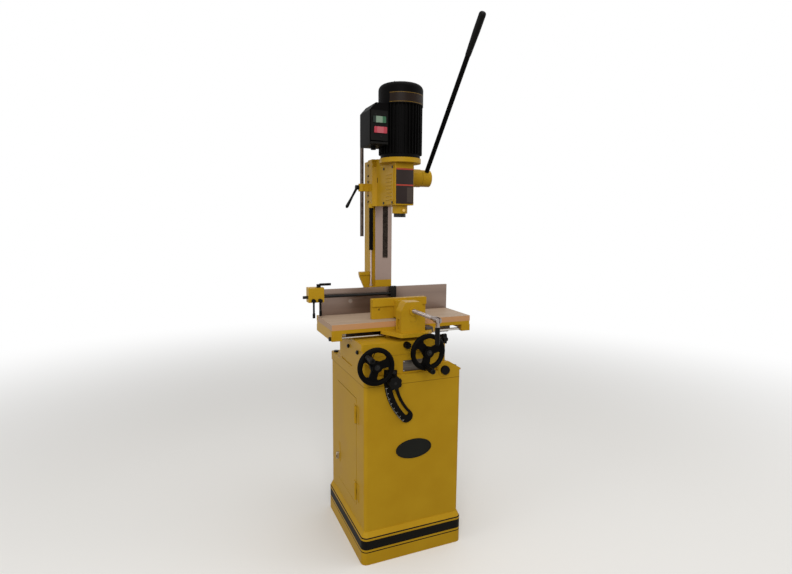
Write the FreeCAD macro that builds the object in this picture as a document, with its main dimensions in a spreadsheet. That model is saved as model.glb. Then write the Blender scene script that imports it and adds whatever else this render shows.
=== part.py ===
import FreeCAD, Part
import math
import os
import Sketcher
from FreeCAD import Placement, Rotation, Vector

doc = FreeCAD.newDocument("mortiser")
dims = doc.addObject("Spreadsheet::Sheet", "dims")
pieces = []


class Size:
    """A number that remembers the spreadsheet expression it comes from."""

    def __init__(self, value, text=None):
        self.value = float(value)
        self.text = text or "%.6f" % self.value

    def __add__(self, other):
        other = sized(other)
        return Size(self.value + other.value, "(%s + %s)" % (self.text, other.text))

    def __radd__(self, other):
        return sized(other) + self

    def __sub__(self, other):
        other = sized(other)
        return Size(self.value - other.value, "(%s - %s)" % (self.text, other.text))

    def __rsub__(self, other):
        return sized(other) - self

    def __mul__(self, other):
        other = sized(other)
        return Size(self.value * other.value, "(%s * %s)" % (self.text, other.text))

    def __rmul__(self, other):
        return self * other

    def __truediv__(self, other):
        other = sized(other)
        return Size(self.value / other.value, "(%s / %s)" % (self.text, other.text))

    def __neg__(self):
        return Size(-self.value, "(0 - %s)" % self.text)

    def __float__(self):
        return self.value


def sized(value):
    return value if isinstance(value, Size) else Size(value)


def size(alias, value):
    """Put one driving dimension in the spreadsheet."""
    row = size.rows = getattr(size, "rows", 0) + 1
    dims.set("A%d" % row, alias)
    dims.set("B%d" % row, "%.6f" % value)
    dims.setAlias("B%d" % row, alias)
    return Size(value, "dims." + alias)


def bind(thing, path, value):
    """Drive one property by its expression, where it has one."""
    value = sized(value)
    if "dims." in value.text:
        thing.setExpression(path, value.text)


AXES = {"XY": ("XY_Plane", lambda x, y, z: (x, y, z)),
        "XZ": ("XZ_Plane", lambda x, y, z: (x, z, -y)),
        "YZ": ("YZ_Plane", lambda x, y, z: (y, z, x))}


def circle(u, v, radius):
    return ("circle", sized(u), sized(v), sized(radius))


def rect(u0, u1, v0, v1, r=0):
    return [(u0, v0, r), (u1, v0, r), (u1, v1, r), (u0, v1, r)]


def draw_circle(sketch, u, v, radius):
    n = sketch.addGeometry(Part.Circle(Vector(u.value, v.value, 0), Vector(0, 0, 1), radius.value))
    pin(sketch, n, 3, u, v)
    hold(sketch, Sketcher.Constraint("Radius", n, radius.value), radius)


def hold(sketch, constraint, value):
    """Add a dimensional constraint and drive it by its expression."""
    n = sketch.addConstraint(constraint)
    bind(sketch, "Constraints[%d]" % n, value)


def pin(sketch, n, end, u, v):
    """Fix a point of the sketch by its two distances from the sketch's origin."""
    hold(sketch, Sketcher.Constraint("DistanceX", -1, 1, n, end, u.value), u)
    hold(sketch, Sketcher.Constraint("DistanceY", -1, 1, n, end, v.value), v)


def draw_outline(sketch, corners):
    """A closed outline through corners (u, v) or (u, v, rounding radius)."""
    corners = [tuple(sized(part) for part in tuple(corner) + (0,) * (3 - len(corner))) for corner in corners]
    spots = [Vector(u.value, v.value, 0) for u, v, _ in corners]
    count = len(corners)
    ends = []
    for n, (u, v, r) in enumerate(corners):
        before = (spots[n - 1] - spots[n]).normalize()
        after = (spots[(n + 1) % count] - spots[n]).normalize()
        if r.value == 0:
            ends.append((spots[n], spots[n], None))
            continue
        half = before.getAngle(after) / 2
        reach = r.value / math.tan(half)
        middle = spots[n] + (before + after).normalize() * (r.value / math.sin(half))
        ends.append((spots[n] + before * reach, spots[n] + after * reach, middle))
    lines = [sketch.addGeometry(Part.LineSegment(ends[n][1], ends[(n + 1) % count][0])) for n in range(count)]
    for n, (u, v, r) in enumerate(corners):
        last, here = lines[n - 1], lines[n]
        if r.value == 0:
            sketch.addConstraint(Sketcher.Constraint("Coincident", last, 2, here, 1))
            pin(sketch, here, 1, u, v)
            continue
        first, final, middle = ends[n]
        turn = (spots[n] - spots[n - 1]).cross(spots[(n + 1) % count] - spots[n]).z
        start = first if turn > 0 else final
        stop = final if turn > 0 else first
        angle = [math.atan2(p.y - middle.y, p.x - middle.x) for p in (start, stop)]
        ring = Part.Circle(middle, Vector(0, 0, 1), r.value)
        arc = sketch.addGeometry(Part.ArcOfCircle(ring, angle[0], angle[1]))
        sketch.addConstraint(Sketcher.Constraint("Tangent", last, 2, arc, 1 if turn > 0 else 2))
        sketch.addConstraint(Sketcher.Constraint("Tangent", here, 1, arc, 2 if turn > 0 else 1))
        hold(sketch, Sketcher.Constraint("Radius", arc, r.value), r)
        dot = sketch.addGeometry(Part.Point(spots[n]), True)
        pin(sketch, dot, 1, u, v)
        sketch.addConstraint(Sketcher.Constraint("PointOnObject", dot, 1, last))
        sketch.addConstraint(Sketcher.Constraint("PointOnObject", dot, 1, here))


class Piece:
    """One physical piece: a body made by adding, cutting and turning sketches."""

    def __init__(self, label, at=(0, 0, 0)):
        self.label = label
        self.body = doc.addObject("PartDesign::Body", label)
        self.body.Label = label
        self.body.AllowCompound = False
        at = [sized(part) for part in at]
        self.body.Placement = Placement(Vector(*[part.value for part in at]), Rotation())
        for name, part in zip("xyz", at):
            bind(self.body, "Placement.Base." + name, part)
        pieces.append(self)

    def sketch(self, plane, at, loops, turn=None):
        role, local = AXES[plane]
        support = [f for f in self.body.Origin.OriginFeatures if f.Role == role][0]
        sketch = self.body.newObject("Sketcher::SketchObject", self.label + "_sketch")
        sketch.AttachmentSupport = (support, [""])
        sketch.MapMode = "FlatFace"
        place = [sized(part) for part in local(*[sized(part) for part in at])]
        spin = Rotation(Vector(*turn[0]), float(turn[1])) if turn else Rotation()
        sketch.AttachmentOffset = Placement(Vector(*[part.value for part in place]), spin)
        for name, part in zip("xyz", place):
            bind(sketch, "AttachmentOffset.Base." + name, part)
        for loop in loops:
            if loop[0] == "circle":
                draw_circle(sketch, *loop[1:])
            else:
                draw_outline(sketch, loop)
        return sketch

    def feature(self, kind, sketch, adds):
        before = self.body.Shape.Volume if self.body.Tip else 0.0
        feature = self.body.newObject("PartDesign::" + kind, self.label + "_" + kind.lower())
        feature.Profile = sketch
        sketch.Visibility = False
        self.body.Tip = feature
        return feature, before

    def settle(self, feature, before, adds):
        doc.recompute()
        after = self.body.Shape.Volume
        if (after > before) != adds or abs(after - before) < 1e-3:
            raise RuntimeError("%s: %s changed nothing" % (self.label, feature.Label))
        return self

    def span(self, plane, start, stop, loops, adds, kind, at, turn, taper):
        """Sketch at the start plane and run it to the stop plane, both along the plane's own axis."""
        start, stop = sized(start), sized(stop)
        u, v = at
        spot = {"XY": (u, v, start), "XZ": (u, stop, v), "YZ": (start, u, v)}[plane]
        sketch = self.sketch(plane, spot, loops, turn)
        feature, before = self.feature(kind, sketch, adds)
        length = stop - start
        feature.Length = length.value
        bind(feature, "Length", length)
        if not adds:
            feature.Reversed = True
        if taper:
            feature.TaperAngle = float(taper)
            bind(feature, "TaperAngle", taper)
        return self.settle(feature, before, adds)

    def add(self, plane, start, stop, *loops, at=(0, 0), turn=None, taper=None):
        return self.span(plane, start, stop, loops, True, "Pad", at, turn, taper)

    def cut(self, plane, start, stop, *loops, at=(0, 0), turn=None, taper=None):
        return self.span(plane, start, stop, loops, False, "Pocket", at, turn, taper)

    def lathe(self, plane, at, axis, *loops, angle=360, adds=True, turn=None, back=False):
        """Revolve outlines about the sketch's own U or V axis."""
        sketch = self.sketch(plane, at, loops, turn)
        feature, before = self.feature("Revolution" if adds else "Groove", sketch, adds)
        feature.ReferenceAxis = (sketch, ["H_Axis" if axis == "U" else "V_Axis"])
        feature.Angle = float(angle)
        bind(feature, "Angle", angle)
        feature.Reversed = back
        return self.settle(feature, before, adds)

    def ring(self, count, axis, angle=360):
        """Repeat the last feature around an axis of the body's origin."""
        feature = self.body.newObject("PartDesign::PolarPattern", self.label + "_ring")
        role = {"X": "X_Axis", "Y": "Y_Axis", "Z": "Z_Axis"}[axis]
        feature.Originals = [self.body.Tip]
        feature.Axis = ([f for f in self.body.Origin.OriginFeatures if f.Role == role][0], [""])
        feature.Angle = angle
        feature.Occurrences = count
        self.body.Tip = feature
        doc.recompute()
        return self

    def row(self, count, axis, length):
        """Repeat the last feature along an axis of the body's origin."""
        feature = self.body.newObject("PartDesign::LinearPattern", self.label + "_row")
        role = {"X": "X_Axis", "Y": "Y_Axis", "Z": "Z_Axis"}[axis]
        feature.Originals = [self.body.Tip]
        feature.Direction = ([f for f in self.body.Origin.OriginFeatures if f.Role == role][0], [""])
        feature.Length = float(length)
        bind(feature, "Length", length)
        feature.Occurrences = count
        self.body.Tip = feature
        doc.recompute()
        return self

    def round(self, radius, pick):
        """Round the edges that pick chooses from their two end points."""
        shape = self.body.Tip.Shape
        names = []
        for n, edge in enumerate(shape.Edges, 1):
            ends = [vertex.Point for vertex in edge.Vertexes]
            if len(ends) == 2 and pick(ends[0], ends[1], edge):
                names.append("Edge%d" % n)
        if not names:
            raise RuntimeError(self.label + ": no edge to round")
        feature = self.body.newObject("PartDesign::Fillet", self.label + "_round")
        feature.Base = (self.body.Tip, names)
        feature.Radius = float(radius)
        bind(feature, "Radius", radius)
        self.body.Tip = feature
        doc.recompute()
        return self


def helix_free_thread(piece, start, pitch, radius, depth, count):
    """Cut evenly spaced grooves in a shaft that lies along Y through the body's origin."""
    low, high = radius - depth, radius + 1
    piece.lathe("YZ", (0, start, 0), "U",
                [(0, low), (0.2 * pitch, low), (0.4 * pitch, high), (-0.2 * pitch, high)], adds=False)
    piece.row(count, "Y", pitch * (count - 1))


def tooth_gap(teeth, module, backlash, toward):
    """Outline of the space between two teeth of a gear, centred on the direction toward (degrees)."""
    radius = module * teeth / 2
    base = radius * math.cos(math.radians(20))
    involute = math.tan(math.radians(20)) - math.radians(20)
    side = []
    for level in (radius - 1.25 * module, radius - 0.6 * module, radius, radius + 0.6 * module,
                  radius + 1.1 * module):
        lean = math.acos(min(1.0, base / level))
        half = math.pi / (2 * teeth) - involute + math.tan(lean) - lean + backlash / (2 * radius)
        side.append((level, half))
    way = math.radians(toward)
    points = [(level * math.cos(way + half), level * math.sin(way + half)) for level, half in side]
    points += [(level * math.cos(way - half), level * math.sin(way - half)) for level, half in reversed(side)]
    return points


def hex_outline(u, v, reach):
    """Hexagon with its corners at reach from the middle."""
    return [(u + reach * math.cos(math.radians(60 * n)), v + reach * math.sin(math.radians(60 * n)))
            for n in range(6)]


def bolts_up(piece, spots, seat, radius, grip, head):
    """Hexagon bolts standing along Z with their heads on the seat plane."""
    for x, y in spots:
        piece.add("XY", seat, seat + head, hex_outline(x, y, radius * 1.9))
        piece.add("XY", seat - grip, seat, circle(x, y, radius))


# driving dimensions, in millimetres, grouped by the piece that they shape

# clearances that every fit uses
run_gap = size("running_gap", 0.05)
slide_gap = size("sliding_gap", 0.3)

# plinth: folded sheet box with a sloping lip and a floor plate
plinth_x = size("plinth_half_width", 196.5)
plinth_y = size("plinth_half_depth", 213.5)
plinth_band = size("plinth_band_height", 96.5)
stand_z = size("plinth_height", 118)
plinth_sheet = size("plinth_sheet", 4)
floor_bolt_x = size("floor_bolt_half_spacing_x", 150)
floor_bolt_y = size("floor_bolt_half_spacing_y", 165)
floor_bolt_r = size("floor_bolt_hole_radius", 6)

# cabinet shell with the door opening on its left side
shell_x = size("shell_half_width", 185)
shell_y = size("shell_half_depth", 201)
shell_z = size("shell_top_height", 638)
shell_sheet = size("shell_sheet", 3)
door_y = size("door_opening_half_width", 115)
door_low = size("door_opening_bottom", 174)
door_high = size("door_opening_top", 575)
base_bolt_x = size("base_bolt_x", 171)
base_bolt_front = size("base_bolt_front_y", -176)
base_bolt_rear = size("base_bolt_rear_y", 184)
base_bolt_r = size("base_bolt_radius", 5)

# frame halves of the two door hinges, with their pins
hinge_x = size("hinge_pin_x", -189.8)
hinge_y = size("hinge_pin_y", -114.7)
knuckle_r = size("hinge_knuckle_radius", 4)
hinge_pin_r = size("hinge_pin_radius", 2)
hinge_lows = (size("lower_hinge_bottom", 196.5), size("upper_hinge_bottom", 485))
hinge_len = size("hinge_length", 63)

# door skin with returned edges, its hinge leaves and the latch plate
door_gap = size("door_gap", 1.5)
skin = size("door_sheet", 2)
latch_y = size("latch_turn_y", 100)
latch_z = size("latch_turn_z", 271)
latch_r = size("latch_stem_radius", 4)

# oval badge on the cabinet front
badge_w = size("badge_half_width", 69)
badge_h = size("badge_half_height", 35.5)
badge_z = size("badge_centre_height", 396)
badge_t = size("badge_thickness", 1.5)

# base casting: deck over the cabinet, tilt trough and the two tilt lugs
deck_z = size("deck_height", 670)
deck_rear = size("deck_rear_y", 213)
tilt_x = size("tilt_axis_x", 116.5)
tilt_z = size("tilt_axis_z", 672)
tilt_r = size("tilt_shaft_radius", 10)
barrel_r = size("tilt_barrel_radius", 25)
lug_front = size("front_lug_rear_y", -186)
lug_rear = size("rear_lug_front_y", 91.5)
stud_r = size("clamp_stud_radius", 5)
slot_r = size("quadrant_slot_radius", 204)
stud_angle = size("clamp_stud_angle", 5)
foot_bolt_x = size("foot_bolt_x", 59)
foot_bolt_front = size("foot_bolt_front_y", 113)
foot_bolt_rear = size("foot_bolt_rear_y", 196)

# column: foot flange, square body and dovetail face with the rack slot
foot_t = size("foot_flange_thickness", 14)
column_z = size("column_top_height", 1428)
face_y = size("dovetail_face_y", 102.7)
face_x = size("dovetail_half_width", 34)
neck_x = size("dovetail_neck_half_width", 26)
neck_y = size("dovetail_neck_y", 118)
body_y = size("column_body_front_y", 125)
body_x = size("column_body_half_width", 44)
body_rear = size("column_body_rear_y", 205)
rack_x = size("rack_left_x", -2.5)
rack_w = size("rack_width", 20.5)
pad_x = size("depth_rod_x", -78)
pad_y = size("depth_rod_y", 135)
gas_x = size("gas_spring_x", -50)
gas_y = size("gas_spring_y", 107)
gas_seat = size("gas_spring_seat_height", 944)

# rack let into the column slot; the pinion of the head rolls on it
feed_module = size("feed_module", 2)
feed_z = size("feed_axis_height", 1363)

# gas spring rod with its foot and piston
rod_r = size("gas_rod_radius", 3.5)
gas_bore = size("gas_cylinder_bore", 6)

# tilting cradle: hollow casting with the dovetail way across its top
cradle_left = size("cradle_left_x", -185)
cradle_right = size("cradle_right_x", 130)
cradle_front = size("cradle_front_y", -185)
cradle_rear = size("cradle_rear_y", 90)
cradle_z = size("cradle_top_height", 760)
way_z = size("cross_way_bottom", 738)
way_left = size("tenon_left_x", -148)
way_right = size("tenon_right_x", 88)
way_lean = size("tenon_lean", 12)
gib_t = size("cross_gib_thickness", 4)
screw_x = size("cross_screw_x", -159)
screw_z = size("cross_screw_z", 721)
screw_r = size("cross_screw_radius", 6)
gib_screw_r = size("gib_screw_radius", 4)
gib_screw_z = size("gib_screw_height", 746)
gib_screw_ys = (size("gib_screw_front_y", -132), size("gib_screw_rear_y", -30))

# slotted tilt quadrant, centred on the tilt axis
quadrant_out = size("quadrant_outer_radius", 234)
quadrant_in = size("quadrant_inner_radius", 188)
quadrant_y = size("quadrant_front_y", -211)
quadrant_t = size("quadrant_thickness", 8)
slot_w = size("quadrant_slot_half_width", 6.5)
top_angle = size("quadrant_top_angle", 6)
sweep = size("quadrant_sweep", 51)
slot_top = size("slot_top_angle", 3)
slot_sweep = size("slot_sweep", 40.5)

# clamp knob on the stud
knob_r = size("clamp_knob_radius", 24)

# handwheels with a turning crank grip
wheel_r = size("handwheel_radius", 65)
rim_r = size("handwheel_rim_radius", 8.5)
crank_r = size("crank_orbit_radius", 52)
crank_pin_r = size("crank_pin_radius", 3)
crank_seat = size("crank_seat_depth", 10)
grip_len = size("crank_grip_length", 54)
wheel_y = size("handwheel_plane_y", -240)
cross_lead = size("cross_screw_lead", 6)

# saddle: cross slide with the tenon below and the pedestal of the table above
saddle_left = size("saddle_left_x", -190)
saddle_right = size("saddle_right_x", 110)
saddle_z = size("saddle_plate_top", 784)
pedestal_x = size("pedestal_half_width", 62)
pedestal_z = size("pedestal_top", 809.7)
rod_y = size("guide_rod_y", -95)
rod_z = size("guide_rod_z", 792)
guide_r = size("guide_rod_radius", 5)
pinion_x = size("table_pinion_x", 30.8)
pinion_z = size("table_pinion_z", 753)
shaft_r = size("table_shaft_radius", 8)
table_module = size("table_module", 2)
rack_front = size("table_rack_front_y", -60)
rack_t = size("table_rack_thickness", 14)
keep_y = size("keeper_lip_y", 78)
lock_x = size("lock_knob_x", -27)
lock_z = size("lock_knob_z", 772)
star_y = size("star_knob_y", -150)

# table casting with its end walls, rear rail, keeper lip and the tongue for the vise
table_left = size("table_left_x", -272)
table_right = size("table_right_x", 273)
table_front = size("table_front_y", -111)
table_rear = size("table_rear_y", 96)
plate_low = size("table_plate_bottom", 810)
plate_z = size("table_plate_top", 823)
board_z = size("board_top", 843)
fence_y = size("fence_face_y", 78.5)
ear_z = size("table_ear_bottom", 785.3)
ear_w = size("table_ear_width", 36)
tongue_z = size("tongue_top", 812)
tongue_low = size("tongue_bottom", 799)

# fence with its posts and screws
fence_t = size("fence_thickness", 9.5)
fence_z = size("fence_top", 942)
fence_left = size("fence_left_x", -265)
fence_right = size("fence_right_x", 273)
fence_screw_x = size("fence_screw_x", 144)
fence_screw_z = size("fence_screw_z", 893)

# vise: body on the tongue, jaw with guide bar, screw and folding handle
vise_x = size("vise_body_half_width", 46)
vise_front = size("vise_body_front_y", -184)
vise_rear = size("vise_body_rear_y", -112)
vise_top = size("vise_body_top", 908)
vise_z = size("vise_screw_height", 889)
vise_r = size("vise_screw_radius", 7)
bar_x = size("vise_bar_half_width", 11)
bar_low = size("vise_bar_bottom", 850)
bar_high = size("vise_bar_top", 868)
jaw_front = size("jaw_front_y", -60)
jaw_back = size("jaw_face_y", -45)
vise_end = size("vise_screw_end_y", -350)
vise_lead = size("vise_screw_lead", 5)

# work stop: bracket over the fence end, sliding rod with its foot, three clamp levers
stop_y = size("stop_rod_y", 66)
stop_z = size("stop_rod_z", 917)
stop_r = size("stop_rod_radius", 5.5)
stop_front = size("stop_bracket_front_y", 52)
stop_low = size("stop_bracket_bottom", 898)
stop_top = size("stop_bracket_top", 952)
lever_z = size("stop_lever_height", 905)

# head casting: front box, cheeks round the dovetail, nose and motor flange
head_x = size("head_half_width", 36)
cheek_x = size("cheek_half_width", 52)
head_front = size("head_front_y", -97)
cheek_y = size("cheek_front_y", 88)
cheek_rear = size("cheek_rear_y", 142)
head_z = size("head_bottom", 1254)
head_top = size("head_top", 1401)
hump_z = size("head_rear_top", 1430)
spindle_y = size("spindle_y", -56)
nose_r = size("nose_radius", 27.5)
nose_z = size("nose_bottom", 1225)
flange_r = size("motor_flange_radius", 73.4)
flange_z = size("motor_flange_top", 1417)
feed_shaft_r = size("feed_shaft_radius", 10)
boss_r = size("feed_boss_radius", 34)
boss_end = size("feed_boss_end_x", 128)
seat_r = size("bushing_seat_radius", 15)
chuck_room = size("chuck_room_radius", 24)
head_gib_t = size("head_gib_thickness", 4)
clamp_z = size("depth_clamp_height", 1326)
depth_r = size("depth_rod_radius", 7)
gas_r = size("gas_cylinder_radius", 7.75)

# gib of the head, its screws and the other small screws of the head
cover_t = size("side_cover_thickness", 3)

# chisel bushing and the gas spring cylinder
bore_r = size("chisel_bore_radius", 7.95)

# motor: finned housing, wound stator, fan cover with vents
motor_low = size("motor_base_z", 1417)
fins_low = size("motor_fins_bottom", 1430)
fins_top = size("motor_fins_top", 1595)
motor_top = size("motor_top", 1668)
fin_r = size("motor_fin_radius", 77.2)
case_r = size("motor_case_radius", 69)
case_in = size("motor_case_inner_radius", 61)
fan_cover_r = size("fan_cover_radius", 79)
spin_r = size("motor_shaft_radius", 9)

# switch box curved round the motor, with its panel, contact block and buttons
box_left = size("switch_box_left_x", -132)
box_front = size("switch_box_front_y", -100)
box_low = size("switch_box_bottom", 1455)
box_high = size("switch_box_top", 1594)
green_z = size("green_button_z", 1538)
red_z = size("red_button_z", 1504)
green_x = size("green_button_x", -98)
red_x = size("red_button_x", -94)
button_w = size("button_half_width", 23)
button_h = size("button_half_height", 10.5)

# feed: pinion on its shaft, hub and long lever
hub_left = size("hub_left_x", 130.3)
hub_right = size("hub_right_x", 168)
lever_x = size("feed_lever_x", 150)
lever_r = size("feed_lever_radius", 8.5)
lever_len = size("feed_lever_length", 617)
lever_angle = size("feed_lever_angle", 39.7)

# clearances that every fit uses

# plinth: folded sheet box with a sloping lip and a floor plate

plinth = Piece("base_plinth")
plinth.add("XY", 0, plinth_band, rect(-plinth_x, plinth_x, -plinth_y, plinth_y, 22))
plinth.add("XY", plinth_band, stand_z, rect(-plinth_x, plinth_x, -plinth_y, plinth_y, 22), taper=-27)
inner_x, inner_y = plinth_x - plinth_sheet, plinth_y - plinth_sheet
plinth.cut("XY", plinth_sheet, plinth_band - plinth_sheet, rect(-inner_x, inner_x, -inner_y, inner_y, 18))
plinth.cut("XY", plinth_band - plinth_sheet, stand_z, rect(-165, 165, -181, 181, 12))
plinth.cut("XY", 0, plinth_sheet, *[circle(sx * floor_bolt_x, sy * floor_bolt_y, floor_bolt_r)
                                   for sx in (-1, 1) for sy in (-1, 1)])

# cabinet shell with the door opening on its left side

base_bolt_spots = [(base_bolt_x, base_bolt_front), (base_bolt_x, base_bolt_rear), (-base_bolt_x, base_bolt_rear)]
hidden_bolt = (-base_bolt_x, base_bolt_front)
shell = Piece("cabinet_shell")
shell.add("XY", stand_z, shell_z, rect(-shell_x, shell_x, -shell_y, shell_y, 12))
hollow_x, hollow_y = shell_x - shell_sheet, shell_y - shell_sheet
shell.cut("XY", stand_z, shell_z - shell_sheet, rect(-hollow_x, hollow_x, -hollow_y, hollow_y, 9))
shell.cut("YZ", -shell_x, -shell_x + shell_sheet, rect(-door_y, door_y, door_low, door_high, 4))
shell.cut("XY", shell_z - shell_sheet, shell_z,
          *[circle(x, y, base_bolt_r + 0.5) for x, y in base_bolt_spots + [hidden_bolt]])

# frame halves of the two door hinges, with their pins
for low in hinge_lows:
    third = hinge_len / 3
    shell.add("XY", low, low + hinge_len, rect(-shell_x - 1.5, -shell_x, -140, hinge_y - 4.3))
    shell.add("XY", low, low + third, rect(-shell_x - 5, -shell_x, hinge_y - 4.5, hinge_y - 2))
    shell.add("XY", low + 2 * third, low + hinge_len, rect(-shell_x - 5, -shell_x, hinge_y - 4.5, hinge_y - 2))
    shell.add("XY", low, low + third, circle(hinge_x, hinge_y, knuckle_r))
    shell.add("XY", low + 2 * third, low + hinge_len, circle(hinge_x, hinge_y, knuckle_r))
    shell.add("XY", low, low + hinge_len, circle(hinge_x, hinge_y, hinge_pin_r))

# door skin with returned edges, its hinge leaves and the latch plate
door = Piece("cabinet_door")
out_x = -shell_x - 0.5
reach_y = door_y - door_gap
sill, lintel = door_low + door_gap + 0.5, door_high - door_gap - 0.5
door.add("YZ", out_x, out_x + 12, rect(-reach_y, reach_y, sill, lintel, 3))
door.cut("YZ", out_x + skin, out_x + 12,
         rect(-reach_y + skin, reach_y - skin, sill + skin, lintel - skin, 1))
door.cut("YZ", out_x + skin, out_x + 12, rect(latch_y + 8, door_y, latch_z - 25, latch_z + 9))
for low in hinge_lows:
    third = hinge_len / 3
    door.add("XY", low, low + hinge_len, rect(out_x - 1.5, out_x, hinge_y + 5.2, -90))
    door.add("XY", low + third + slide_gap, low + 2 * third - slide_gap,
             rect(out_x - 4.4, out_x - 0.3, hinge_y + 1.9, hinge_y + 5.4))
    door.add("XY", low + third + slide_gap, low + 2 * third - slide_gap, circle(hinge_x, hinge_y, knuckle_r))
    door.cut("XY", low + third, low + 2 * third, circle(hinge_x, hinge_y, hinge_pin_r + run_gap))
door.add("YZ", out_x - 1.5, out_x, rect(latch_y - 12, latch_y + 12, 244, 325, 10))
door.cut("YZ", out_x - 1.5, out_x + skin, circle(latch_y, latch_z, latch_r + run_gap))

# turn latch: grip outside, stem through the skin, tongue inside
latch = Piece("latch_knob", at=(out_x, latch_y, latch_z))
latch.add("YZ", -11, -1.5 - slide_gap, rect(-4, 4, -14, 14, 3.5))
latch.add("YZ", -5, 8, circle(0, 0, latch_r))
latch.add("YZ", 3.8, 5.8, rect(-6, 6, -22, 6, 2))

# oval badge on the cabinet front
oval = doc.addObject("Part::Ellipse", "badge_outline")
oval.MajorRadius, oval.MinorRadius = float(badge_w), float(badge_h)
bind(oval, "MajorRadius", badge_w)
bind(oval, "MinorRadius", badge_h)
oval.Placement = Placement(Vector(0, -shell_y.value, badge_z.value), Rotation(Vector(1, 0, 0), 90))
bind(oval, "Placement.Base.y", -shell_y)
bind(oval, "Placement.Base.z", badge_z)
badge = doc.addObject("Part::Extrusion", "badge_plate")
badge.Label = "badge_plate"
badge.Base = oval
badge.DirMode = "Custom"
badge.Dir = Vector(0, -1, 0)
badge.LengthFwd = float(badge_t)
bind(badge, "LengthFwd", badge_t)
badge.Solid = True

# base casting: deck over the cabinet, tilt trough and the two tilt lugs
stud_x = tilt_x - slot_r * math.cos(math.radians(stud_angle.value))
stud_z = tilt_z - slot_r * math.sin(math.radians(stud_angle.value))

casting = Piece("base_casting")
casting.add("XY", shell_z, deck_z, rect(-shell_x, shell_x, -shell_y, deck_rear, 12))
casting.cut("XY", shell_z, deck_z - 12, rect(-140, 60, -158, 165, 10))
casting.cut("XZ", lug_front, lug_rear, circle(tilt_x, tilt_z, barrel_r + 2))
lug = [(91, 665), (91, 689, 6), (101, 699, 8), (138, 699, 8), (184.5, 670.5), (184.5, 665)]
casting.add("XZ", -shell_y, lug_front, lug)
casting.add("XZ", lug_rear, lug_rear + 16, lug)
casting.add("XZ", -shell_y - 3, -shell_y, circle(tilt_x, tilt_z, barrel_r))
casting.cut("XZ", -shell_y - 3, lug_rear + 16, circle(tilt_x, tilt_z, tilt_r + run_gap))
casting.cut("XZ", -shell_y, -shell_y + 16, circle(stud_x, stud_z, stud_r + run_gap))
casting.cut("XY", shell_z, deck_z, *[circle(x, y, base_bolt_r + 0.5) for x, y in base_bolt_spots + [hidden_bolt]])
casting.cut("XY", deck_z - 8, deck_z, circle(hidden_bolt[0], hidden_bolt[1], 12))
foot_bolt_spots = [(sx * foot_bolt_x, y) for sx in (-1, 1) for y in (foot_bolt_front, foot_bolt_rear)]
casting.cut("XY", shell_z, deck_z, *[circle(x, y, base_bolt_r + 0.5) for x, y in foot_bolt_spots])

# column: foot flange, square body and dovetail face with the rack slot

column = Piece("column")
column.add("XY", deck_z, deck_z + foot_t, rect(-72, 72, 100, 211, 10))
column.add("XY", deck_z + foot_t, column_z,
           [(-face_x, face_y), (face_x, face_y), (neck_x, neck_y), (neck_x, body_y), (body_x, body_y),
            (body_x, body_rear, 8), (-body_x, body_rear, 8), (-body_x, body_y), (-neck_x, body_y),
            (-neck_x, neck_y)])
column.add("XY", gas_seat - 10, gas_seat, rect(gas_x - 9, -neck_x, gas_y - 9, body_y + 1, 4))
column.add("XY", 986, 998, rect(pad_x - 12, -body_x + 1, pad_y - 12, pad_y + 12, 5))
column.add("XZ", pad_y - 6, pad_y + 6, [(-body_x + 1, 987), (pad_x - 12, 987), (pad_x - 11, 980), (-body_x + 1, 872)])
column.cut("XY", 1053, column_z, rect(rack_x - 0.5, rack_x + rack_w + 0.5, face_y - 1, face_y + 6.3))
column.cut("XY", deck_z, column_z - 10, rect(-body_x + 14, body_x - 14, body_y + 12, body_rear - 12, 6))
column.cut("XY", deck_z, deck_z + foot_t, *[circle(x, y, base_bolt_r + 0.5) for x, y in foot_bolt_spots])

# rack let into the column slot; the pinion of the head rolls on it
feed_teeth = 50
feed_r = feed_module * feed_teeth / 2
feed_y = face_y - feed_r
feed_pitch = feed_module * math.pi


def rack_tooth(module, backlash):
    """Half widths of a rack tooth at its root and tip."""
    half = module.value * math.pi / 4 - backlash / 4
    slope = math.tan(math.radians(20))
    return half + 1.25 * module.value * slope, half - module.value * slope


root_half, tip_half = rack_tooth(feed_module, 0.4)
rack = Piece("column_rack")
root_y, tip_y = face_y + 1.25 * feed_module, face_y - feed_module
rack.add("XY", 1055, 1400, rect(rack_x, rack_x + rack_w, root_y, face_y + 6.3))
first = feed_z - 48 * feed_pitch
rack.add("YZ", rack_x, rack_x + rack_w,
         [(root_y + 0.1, first - root_half), (root_y + 0.1, first + root_half),
          (tip_y, first + tip_half), (tip_y, first - tip_half)])
rack.row(54, "Z", feed_pitch * 53)

# bolts of the stand: casting bolts, column foot bolts and the tilt clamp stud
fasteners = Piece("stand_fasteners")
fasteners.body.AllowCompound = True
bolts_up(fasteners, base_bolt_spots, deck_z, base_bolt_r, 42, 7)
fasteners.add("XY", deck_z - 8, deck_z - 1, circle(hidden_bolt[0], hidden_bolt[1], 8))
fasteners.add("XY", deck_z - 42, deck_z - 8, circle(hidden_bolt[0], hidden_bolt[1], base_bolt_r))
bolts_up(fasteners, foot_bolt_spots, deck_z + foot_t, base_bolt_r, 34, 7)
fasteners.add("XZ", -236, -shell_y + 15, circle(stud_x, stud_z, stud_r))

# tilt shaft with its round end cap
tilt_shaft = Piece("tilt_shaft", at=(tilt_x, 0, tilt_z))
tilt_shaft.add("XZ", -shell_y - 3, lug_rear + 16, circle(0, 0, tilt_r))
tilt_shaft.add("XZ", -shell_y - 14, -shell_y - 3, circle(0, 0, 16))

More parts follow.
